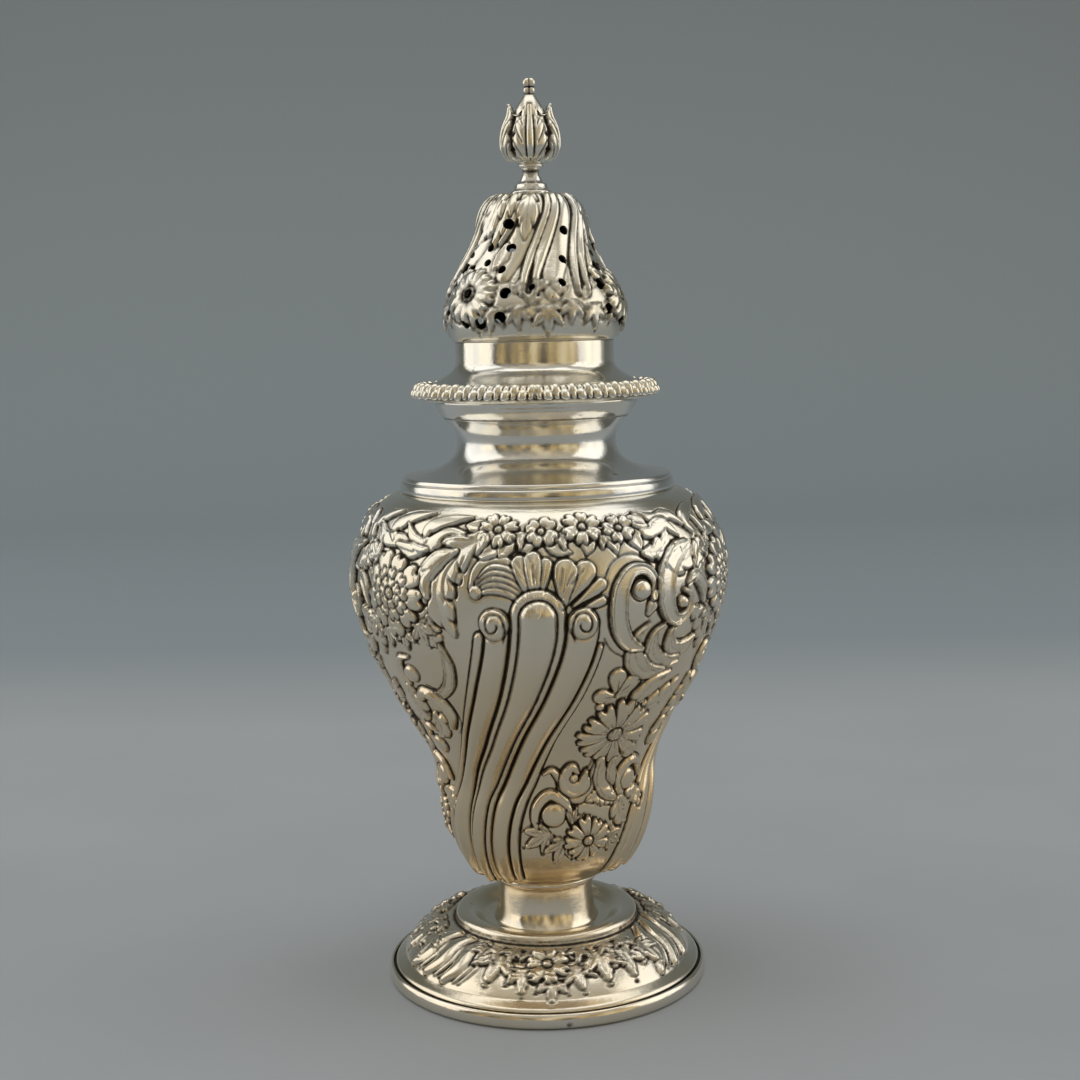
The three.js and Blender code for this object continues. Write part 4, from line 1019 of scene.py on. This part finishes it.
# %% Dome piercing
# Turn, height and radius of each hole of one repeat
HOLES = [
    (-23.4, 168.1, 1.15), (32.0, 166.6, 1.05), (-40.8, 163.4, 1.0), (-18.3, 162.9, 1.1),
    (59.0, 161.8, 0.75), (-54.5, 159.4, 0.7), (-39.5, 160.2, 0.9), (-23.5, 158.4, 1.0),
    (24.3, 160.4, 0.95), (56.5, 159.0, 1.3), (-45.0, 153.4, 1.1), (-18.5, 153.7, 1.3),
    (-0.9, 154.7, 0.7), (20.1, 155.6, 0.95), (52.2, 155.3, 1.25), (-48.3, 147.6, 1.1),
    (-34.4, 147.4, 1.2), (-20.9, 148.6, 1.2), (53.7, 150.1, 1.15), (-47.0, 147.3, 0.9),
]
WALL = 0.7                         # mm of silver between the two grids
ROUNDED = math.radians(60)         # only the edges of the holes and the rims turn by more, and stay sharp


def pierced(chart, name, holes):
    """Two grids a wall apart; cells whose middle is in a hole are left out and its edge is made round."""
    turns = np.concatenate([chart.u + k * chart.period for k in range(PANELS)])
    across, up = np.meshgrid(turns, chart.q)
    rows, columns = across.shape
    gone = np.zeros((rows - 1, columns), bool)
    mid_u = across[:-1] + (turns[1] - turns[0]) / 2
    mid_q = (up[:-1] + up[1:]) / 2
    spots = [(*chart.place([(t, z)])[0], radius, k * chart.period) for t, z,
             radius in holes for k in range(PANELS)]
    owner = np.full((rows, columns), -1)
    for hole, (u, v, radius, shift) in enumerate(spots):
        size = radius / chart.scale(v)
        gone |= np.hypot((mid_u - u - shift + 180) % 360 - 180, mid_q - v) < size
        near = np.hypot((across - u - shift + 180) % 360 - 180, up - v) < size * 1.5
        owner[near] = hole
    full = np.zeros((rows, columns), bool)
    kept = np.zeros((rows, columns), bool)
    for grid, cells in ((full, gone), (kept, ~gone)):
        for i in (0, 1):
            for j in (0, 1):
                grid[i:rows - 1 + i] |= np.roll(cells, j, 1)
    rim = full & kept
    for hole, (u, v, radius, shift) in enumerate(spots):
        mine = rim & (owner == hole)
        size = radius / chart.scale(v)
        du, dv = (across[mine] - u - shift + 180) % 360 - 180, up[mine] - v
        grow = size / np.hypot(du, dv)
        across[mine] += du * (grow - 1)
        up[mine] += dv * (grow - 1)
    h, dark = np.tile(chart.h, PANELS), np.tile(chart.dark, PANELS)
    r, z, nr, nz = (np.interp(up, chart.q, a) for a in (chart.r, chart.z, chart.nr, chart.nz))
    outer = around(r + nr * h, across, z + nz * h)
    deep = h - WALL
    inner = around(r + nr * deep, across, z + nz * deep)
    number = np.arange(rows * columns).reshape(rows, columns)
    back = number + rows * columns
    right = np.roll(number, -1, 1)
    cells = np.stack([number[:-1], right[:-1], right[1:], number[1:]], -1)
    outer_faces = cells[~gone]
    inner_faces = outer_faces[:, ::-1] + rows * columns
    walls = []
    above = np.vstack([gone, np.zeros((1, columns), bool)])
    below = np.vstack([np.zeros((1, columns), bool), gone])
    level = above != below                      # grid edge between a kept cell and a missing one
    level[0] = level[-1] = False
    for edge, start, end in ((level & above, number, right), (level & below, right, number)):
        a, b = start[edge], end[edge]
        walls.append(np.stack([b, a, a + rows * columns, b + rows * columns], 1))
    left_cell = np.roll(gone, 1, 1)
    upright = gone != left_cell
    low, high = number[:-1], number[1:]
    for edge, start, end in ((upright & gone, high, low), (upright & left_cell, low, high)):
        a, b = start[edge], end[edge]
        walls.append(np.stack([b, a, a + rows * columns, b + rows * columns], 1))
    foot_rim = np.stack([right[0], number[0], back[0], right[0] + rows * columns], 1)
    top_rim = np.stack([number[-1], right[-1], right[-1] + rows * columns, back[-1]], 1)
    faces = np.vstack([outer_faces, inner_faces, *walls, foot_rim, top_rim])
    points = np.vstack([outer.reshape(-1, 3), inner.reshape(-1, 3)])
    recess = np.concatenate([dark.ravel(), np.full(rows * columns, 0.9)])
    used = np.unique(faces)
    renumber = np.zeros(len(points), int)
    renumber[used] = np.arange(len(used))
    print("holes pierced:", len(spots))
    made = build(name, points[used], renumber[faces], recess=recess[used])
    made.data.set_sharp_from_angle(angle=ROUNDED)
    return made


fit(pierced(dome, "cover_dome_pierced", HOLES), "cover", "cover_dome", chased)

# %% [markdown]
# ## The gadroon border
#
# A cast and soldered wire of lobes runs round the edge of the cover. They stand in two rows, the upper
# one half a step on, and each large lobe has a small one beside it. From the front, and again from the
# back, they lean slightly to both sides. It is a ring solid whose outer bulge is pushed in between them.

# %% Gadroon border
LOBES = 46                         # large lobes in one row round the cover
LARGE = 0.62                       # share of a step that the large lobe takes, and the small one has the rest
SUNK = 1.25                        # mm from a lobe's crown to the gap beside it
border_bulge = joined(
    curve((25.0, COVER), (26.4, COVER), (27.5, COVER + 0.2), (27.6, COVER + 1.2), 12),
    curve((27.6, COVER + 1.2), (27.7, COVER + 2.6), (26.8, COVER + 3.9), (25.6, COVER + 4.2), 16),
    curve((25.6, COVER + 4.2), (25.0, COVER + 4.2), (24.2, COVER + 4.0), (23.8, COVER + 3.7), 8))
border_outline = joined(border_bulge, [(23.7, COLLAR), (21.8, COLLAR), (21.8, BORDER), (25.0, BORDER)])
steps = LOBES * 22
turns = (np.arange(steps) + 0.5) * 360 / steps
lean_from_front = np.abs((turns + 180) % 360 - 180)
on_bulge = np.arange(len(border_outline)) < len(border_bulge)
climb = np.where(on_bulge, np.arange(len(border_outline)) / (len(border_bulge) - 1), 0)[:, None]
phase = LOBES * lean_from_front[None, :] / 360 + 0.2 * climb
raised = np.zeros((len(border_outline), steps))
for middle, reach, first in ((0.36, 0.24, 0.5), (0.68, 0.3, 0.0)):     # the lower row, then the upper one
    swell = np.clip(1 - ((climb - middle) / reach) ** 2, 0, 1)
    part = (phase + first) % 1
    large = np.clip(np.sin(np.pi * part / LARGE), 0, 1) * (part < LARGE)
    small = 0.6 * np.clip(np.sin(np.pi * (part - LARGE) / (1 - LARGE)), 0, 1) * (part >= LARGE)
    raised = np.maximum(raised, np.sqrt((large + small) * swell))
weight = np.clip(np.sin(np.pi * climb) * 2.5, 0, 1)
border_relief = -SUNK * weight * (1 - raised)
border_dark = weight * np.clip(1.3 - 2.3 * raised, 0, 1)
border = turned("gadroon_border_silver", border_outline, border_relief, steps)
shade = np.maximum(border_dark, np.broadcast_to(hollows(border_outline)[:, None] * 0.6, border_dark.shape))
border.data.attributes["recess"].data.foreach_set("value", shade.astype(np.float32).ravel())
fit(border, "cover", "gadroon_border", chased)

# %% [markdown]
# ## The finial
#
# A stepped collet carries a cast bud: four acanthus leaves close round a smooth cone, their tips curl
# outwards, and a small beaded knob ends it. The leaves are a chart of a quarter turn, laid four times,
# and the cone and the four curled tips are grids of their own that join it as one mesh.

# %% Collet
collet_outline = softened(np.array([
    (0.02, COLLET - 3), (1.2, COLLET - 3), (1.2, COLLET), (4.7, COLLET), (4.55, COLLET + 0.6),
    (3.9, COLLET + 1.0), (3.6, COLLET + 1.6), (3.45, COLLET + 2.2), (2.6, COLLET + 2.6),
    (2.35, COLLET + 3.2), (2.1, COLLET + 3.8), (1.8, COLLET + 4.3), (1.8, BUD - 0.7),
    (2.4, BUD - 0.1), (2.4, BUD), (0.02, BUD)]), 0.2)
collet = turned("finial_collet_silver", collet_outline, segments=128)
fit(collet, "cover", "finial_collet", polished)

# %% Leaves of the bud
LEAVES = 4
bud_outline = joined(
    curve((2.5, BUD), (2.95, BUD + 0.15), (2.95, BUD + 0.65), (2.4, BUD + 0.9), 8),
    curve((2.4, BUD + 0.9), (3.6, BUD + 0.9), (5.8, BUD + 2.0), (6.2, BUD + 4.2), 16),
    curve((6.2, BUD + 4.2), (6.5, BUD + 6.2), (6.1, BUD + 8.6), (5.0, BUD + 10.2), 18),
    curve((5.0, BUD + 10.2), (4.6, BUD + 10.9), (4.4, BUD + 11.8), (4.4, BUD + 12.6), 10))
bud = Chart(bud_outline, 84, 72, period=360 / LEAVES)
bud.h[:] = -0.9 * np.clip((bud.z - BUD - 1.1) / 1.5, 0, 1)[:, None]
across, up = np.meshgrid(bud.u, bud.z - BUD)
LOBE = 3.8                         # mm of height that one lobe of the leaf's edge takes
lobed = np.abs(np.sin(np.pi * (up - 3.2) / LOBE))
half = np.interp(up, [0, 1, 2, 6, 10, 12.6], [50, 44, 43, 41, 36, 24]) * (0.84 + 0.16 * lobed)
x = np.clip(np.abs(across) / half, 0, 1)
inside = np.clip((half - np.abs(across)) * bud.mm[:, None] / 0.25 + 0.5, 0, 1)
rib = np.exp(-((np.abs(across) - 8.5) / 2.6) ** 2)
vein = np.exp(-(((np.abs(across) * 0.05 - up / LOBE) % 1 - 0.5) / 0.14) ** 2) * (np.abs(across) > 14)
height = 0.5 * np.sqrt(1 - x * x) + 0.25 * np.exp(-(across / 6) ** 2) - 0.4 * rib - 0.3 * vein
everywhere = np.s_[:, :]
above = np.clip(up - 1.1, 0, 1)
bud.lay(everywhere, inside * above, height, np.clip(rib * 0.9 + vein * 0.8, 0, 1))
bud.cut(everywhere, above * np.exp(-((np.abs(across) - half) * bud.mm[:, None] / 0.35 - 0.4) ** 2), 0.3)
DRILLED = 0.5                      # mm, radius of the eyes between the leaves' lobes
for turn in (42, -42):
    for z in (BUD + 3.2, BUD + 7.0):
        for window, away, _ in around_point(bud, (turn, z), DRILLED + 1):
            bud.cut(window, np.exp(-(away / DRILLED) ** 2), 0.6)
settle(bud, 0.6, 0.6)

# The upper rim is a fringe: it rises at the middle of each leaf and falls between two leaves
points, _, dark = surface(bud, range(LEAVES))
rows, columns = dark.shape
fringe = np.tile(np.abs(np.cos(np.radians(bud.u) * 2)) ** 3, LEAVES)
near_rim = np.clip((bud.z - BUD - 8) / 4.6, 0, 1)[:, None] ** 2
points[..., 2] += near_rim * fringe - 1.6 * near_rim * (1 - fringe)
inner_turns = np.concatenate([bud.u + k * bud.period for k in range(LEAVES)])
inner_outline = np.array([(2.0, BUD), (1.7, BUD + 1.0), (3.6, BUD + 2.8), (4.5, BUD + 5.0),
                          (4.0, BUD + 9.0), (3.1, BUD + 11.2), (3.6, BUD + 12.0)])
inner = around(inner_outline[:, :1], inner_turns[None, :], inner_outline[:, 1:])
inner[-1, :, 2] += 0.9 * fringe - 1.4 * (1 - fringe)
m = len(inner_outline)
count = rows * columns
fine = np.arange(count).reshape(rows, columns)
coarse = np.arange(m * columns).reshape(m, columns) + count
bud_points = [points.reshape(-1, 3), inner.reshape(-1, 3)]
bud_dark = [dark.ravel(), np.full(m * columns, 0.7)]
bud_quads = [grid_faces(rows, columns, wrap_columns=True),
             grid_faces(m, columns, count, wrap_columns=True)[:, ::-1],
             np.stack([np.roll(fine[0], -1), fine[0], coarse[0], np.roll(coarse[0], -1)], 1),
             np.stack([fine[-1], np.roll(fine[-1], -1), np.roll(coarse[-1], -1), coarse[-1]], 1)]
total = count + m * columns

# %% Cone and beaded knob
CORE = 96                          # steps round the cone
core_outline = joined(
    [(0.02, BUD + 1.2), (1.5, BUD + 1.2)],
    curve((1.5, BUD + 1.2), (3.4, BUD + 3), (3.8, BUD + 8), (3.5, BUD + 11.4), 16),
    curve((3.5, BUD + 11.4), (3.0, BUD + 13.2), (1.7, KNOB + 1.0), (1.05, KNOB + 2.0), 16),
    curve((1.05, KNOB + 2.0), (1.6, KNOB + 2.2), (1.6, KNOB + 3.3), (1.05, KNOB + 3.5), 10),
    curve((1.05, KNOB + 3.5), (1.85, KNOB + 3.7), (1.85, KNOB + 5.3), (0.7, KNOB + 5.45), 12),
    [(0.02, KNOB + 5.5)])
core_turns = np.arange(CORE) * 360 / CORE
beady = np.clip((core_outline[:, 1] - KNOB - 1.9) / 0.2, 0, 1)[:, None]     # 1 on the knob, 0 on the cone
pinch = 1 - 0.32 * beady * (1 - np.abs(np.sin(2 * np.radians(core_turns)))[None, :] ** 0.6)
core = around(core_outline[:, :1] * pinch, core_turns[None, :], core_outline[:, 1:])
between_beads = np.clip((1 - pinch) * 3.4 - 0.2, 0, 1)
core_dark = (between_beads + hollows(core_outline, 0.3)[:, None] * 0.7).clip(0, 1)
bud_points.append(core.reshape(-1, 3))
bud_dark.append(core_dark.ravel())
bud_quads.append(grid_faces(len(core_outline), CORE, total, wrap_rows=True, wrap_columns=True))
total += core.size // 3

# %% Curled leaf tips
ALONG, ROUND = 14, 16              # points along a tip and round it
FLAT = 0.42                        # a tip is this much as thick as it is wide
tip_path = curve((4.2, BUD + 10.4), (4.2, BUD + 12.6), (4.1, BUD + 13.9), (4.9, BUD + 13.3), ALONG)
tip_side = np.gradient(tip_path, axis=0)
tip_side = tip_side / np.hypot(*tip_side.T)[:, None]
tip_width = np.interp(np.linspace(0, 1, ALONG), [0, 0.3, 0.8, 1], [1.3, 1.0, 0.75, 0.35])[:, None]
tip_angle = np.linspace(0, 2 * np.pi, ROUND, endpoint=False)[None, :]
aside = tip_width * np.sin(tip_angle)
out = tip_path[:, :1] + tip_side[:, 1:] * FLAT * np.cos(tip_angle) * tip_width
up = tip_path[:, 1:] - tip_side[:, :1] * FLAT * np.cos(tip_angle) * tip_width
bud_caps = []
for k in range(LEAVES):
    angle = math.radians(bud.period * k)
    ring = np.stack([out * math.sin(angle) - aside * math.cos(angle),
                     -out * math.cos(angle) - aside * math.sin(angle), up], -1)
    bud_points += [ring.reshape(-1, 3), ring[[0, -1]].mean(1)]
    bud_dark.append(np.full(ring.size // 3 + 2, 0.05))
    bud_quads.append(grid_faces(ALONG, ROUND, total, wrap_columns=True))
    first = total + np.arange(ROUND)
    last = first + (ALONG - 1) * ROUND
    low, high = total + ALONG * ROUND, total + ALONG * ROUND + 1
    bud_caps += [np.stack([np.roll(first, -1), first, np.full(ROUND, low)], 1),
                 np.stack([last, np.roll(last, -1), np.full(ROUND, high)], 1)]
    total += ring.size // 3 + 2
finial = build("finial_bud_silver", np.vstack(bud_points), np.vstack(bud_quads), np.vstack(bud_caps),
               np.concatenate(bud_dark))
fit(finial, "cover", "finial_bud", chased)

# %% [markdown]
# ## Studio
#
# Silver shows its room, so the room matters as much as the metal. A pale painted board sweeps up into a
# backdrop; behind the caster it turns darker, which is painted shade. Two soft windows stand left and right
# beside it, a large soft sheet hangs overhead, and the side behind the camera is a dim, patchy room with
# upright things in it, whose reflection gives the bright metal its dark bands.

# %% Floor and backdrop
UNEVEN = 16.0                      # noise cells in a metre: the paint is uneven over 60 mm


def painted_board(name, colour, far):
    """Matt board: a plain colour, faintly uneven, with painted shade: a darker one from 0.24 to 0.4 m behind.
    """
    material = bpy.data.materials.new(name)
    material.use_nodes = True
    tree = material.node_tree
    shader = tree.nodes["Principled BSDF"]
    place = add(tree, PLACE).outputs["Object"]
    cloud = add(tree, NOISE, Vector=place, Scale=UNEVEN, Detail=2.0).outputs["Fac"]
    high = linear(colour)
    low = tuple(0.95 * c for c in high[:3]) + (1,)
    near = add(tree, RAMP, stops=((0.3, low), (0.7, high)), Fac=cloud).outputs["Color"]
    depth = add(tree, "ShaderNodeSeparateXYZ", Vector=place).outputs["Y"]
    back = add(tree, RANGE, Value=depth, i1=0.24, i2=0.4).outputs[0]
    # painted shade: the board is darker behind the caster, as if it stood in less light
    both = add(tree, MIX, COLOURS, i0=back, i6=near, i7=linear(far)).outputs[2]
    tree.links.new(both, shader.inputs["Base Color"])
    shader.inputs["Roughness"].default_value = 0.8
    return material


# Seen from the side: flat from 1.6 m in front to 0.9 m behind, then a quarter circle up to the wall
FLAT_END, BEND = 0.9, 0.5
bow = np.linspace(0, np.pi / 2, 20)
sweep = np.vstack([
    np.stack([np.linspace(-1.6, FLAT_END, 12), np.zeros(12)], 1),
    np.stack([FLAT_END + BEND * np.sin(bow), BEND - BEND * np.cos(bow)], 1)[1:],
    np.array([(FLAT_END + BEND, 2.6)])])
wide = np.linspace(-2.4, 2.4, 5)
sweep_points = np.stack(np.broadcast_arrays(wide[None, :], sweep[:, :1], sweep[:, 1:]), -1) / MM
floor = build("pale_sweep", sweep_points, grid_faces(len(sweep), len(wide)))
# the second colour is the painted shade behind the caster
floor.data.materials.append(painted_board("matt_painted_board", "#a6adb6", "#8c98a3"))

# %% Lights
CENTRE = np.array([0, 0, 0.1])     # metres, half way up the caster


def window(name, place, size, power, colour):
    """Rectangular soft light at that place, so many metres wide and high, that faces the caster."""
    data = bpy.data.lights.new(name, "AREA")
    data.shape = "RECTANGLE"
    data.size, data.size_y = size
    data.energy = power
    data.color = linear(colour)[:3]
    lamp = bpy.data.objects.new(name, data)
    bpy.context.scene.collection.objects.link(lamp)
    x, y, z = CENTRE - place
    lamp.location = place
    lamp.rotation_euler = (math.atan2(math.hypot(x, y), -z), 0, math.atan2(y, x) - math.pi / 2)


window("window_left", (-1.17, 0.05, 0.55), (1.5, 1.25), 5.0, "#fffdf9")
window("window_right", (1.2, -0.05, 0.5), (1.1, 1.25), 3.7, "#fffdf9")
window("ceiling_sheet", (0, 0.1, 1.5), (1.7, 1.4), 6.0, "#fffdf8")

# %% [markdown]
# The room is a world of directions: noise stretched upright for the things in front, a grey wall behind
# and a pale ceiling. The camera itself sees one plain grey, so that nothing of the room is in the picture.

# %% Room
THINGS = 2.6                       # how many patches of light and dark the noise puts in the room
world = bpy.data.worlds.new("studio_room")
bpy.context.scene.world = world
world.use_nodes = True
tree = world.node_tree
direction = add(tree, PLACE).outputs["Generated"]
axes = add(tree, "ShaderNodeSeparateXYZ", Vector=direction).outputs
upright = add(tree, "ShaderNodeMapping", Vector=direction, Scale=(1.3, 1.3, 0.5)).outputs["Vector"]
things = add(tree, NOISE, Vector=upright, Scale=THINGS, Detail=2.0, Roughness=0.6).outputs["Fac"]
patches = zip((0.36, 0.48, 0.56, 0.68), map(linear, ("#332c22", "#6f6756", "#a48d5c", "#c6ba9c")))
front = add(tree, RAMP, stops=patches, Fac=things).outputs["Color"]
behind = add(tree, RANGE, Value=axes["Y"], i1=-0.3, i2=0.8).outputs[0]
walls = add(tree, MIX, COLOURS, i0=behind, i6=front, i7=linear("#8f9498")).outputs[2]
overhead = add(tree, RANGE, Value=axes["Z"], i1=0.1, i2=0.9).outputs[0]
room = add(tree, MIX, COLOURS, i0=overhead, i6=walls, i7=linear("#a9a69e")).outputs[2]
direct = add(tree, "ShaderNodeLightPath").outputs["Is Camera Ray"]
seen = add(tree, MIX, COLOURS, i0=direct, i6=room, i7=linear("#8b9095")).outputs[2]
tree.links.new(seen, tree.nodes["Background"].inputs["Color"])
tree.nodes["Background"].inputs["Strength"].default_value = 1.35

# %% [markdown]
# The camera stands where the photo's camera stood. Its distance, height, pitch and lens were fitted to
# the turned outlines in the photo, whose ellipses open more the further they lie under the eye.

# %% Camera
PHOTO = 1080                       # pixels across the photo
FOCAL = 1650                       # pixels, the focal length in the same measure
SENSOR = 36                        # mm
camera_data = bpy.data.cameras.new("camera")
camera_data.lens = SENSOR * FOCAL / PHOTO
camera_data.sensor_width = SENSOR
camera_data.shift_x = 1.5 / PHOTO
camera = bpy.data.objects.new("camera", camera_data)
camera.location = (0, -0.3662, 0.1459)
pitch, roll = math.radians(90 - 7.26), math.radians(-1.2)     # it looks down by 7.26 degrees
camera.rotation_mode = "QUATERNION"
tilt = Matrix.Rotation(pitch, 3, "X") @ Matrix.Rotation(roll, 3, "Z")
camera.rotation_quaternion = tilt.to_quaternion()
bpy.context.scene.collection.objects.link(camera)
bpy.context.scene.camera = camera
bpy.context.scene.view_settings.view_transform = "Standard"
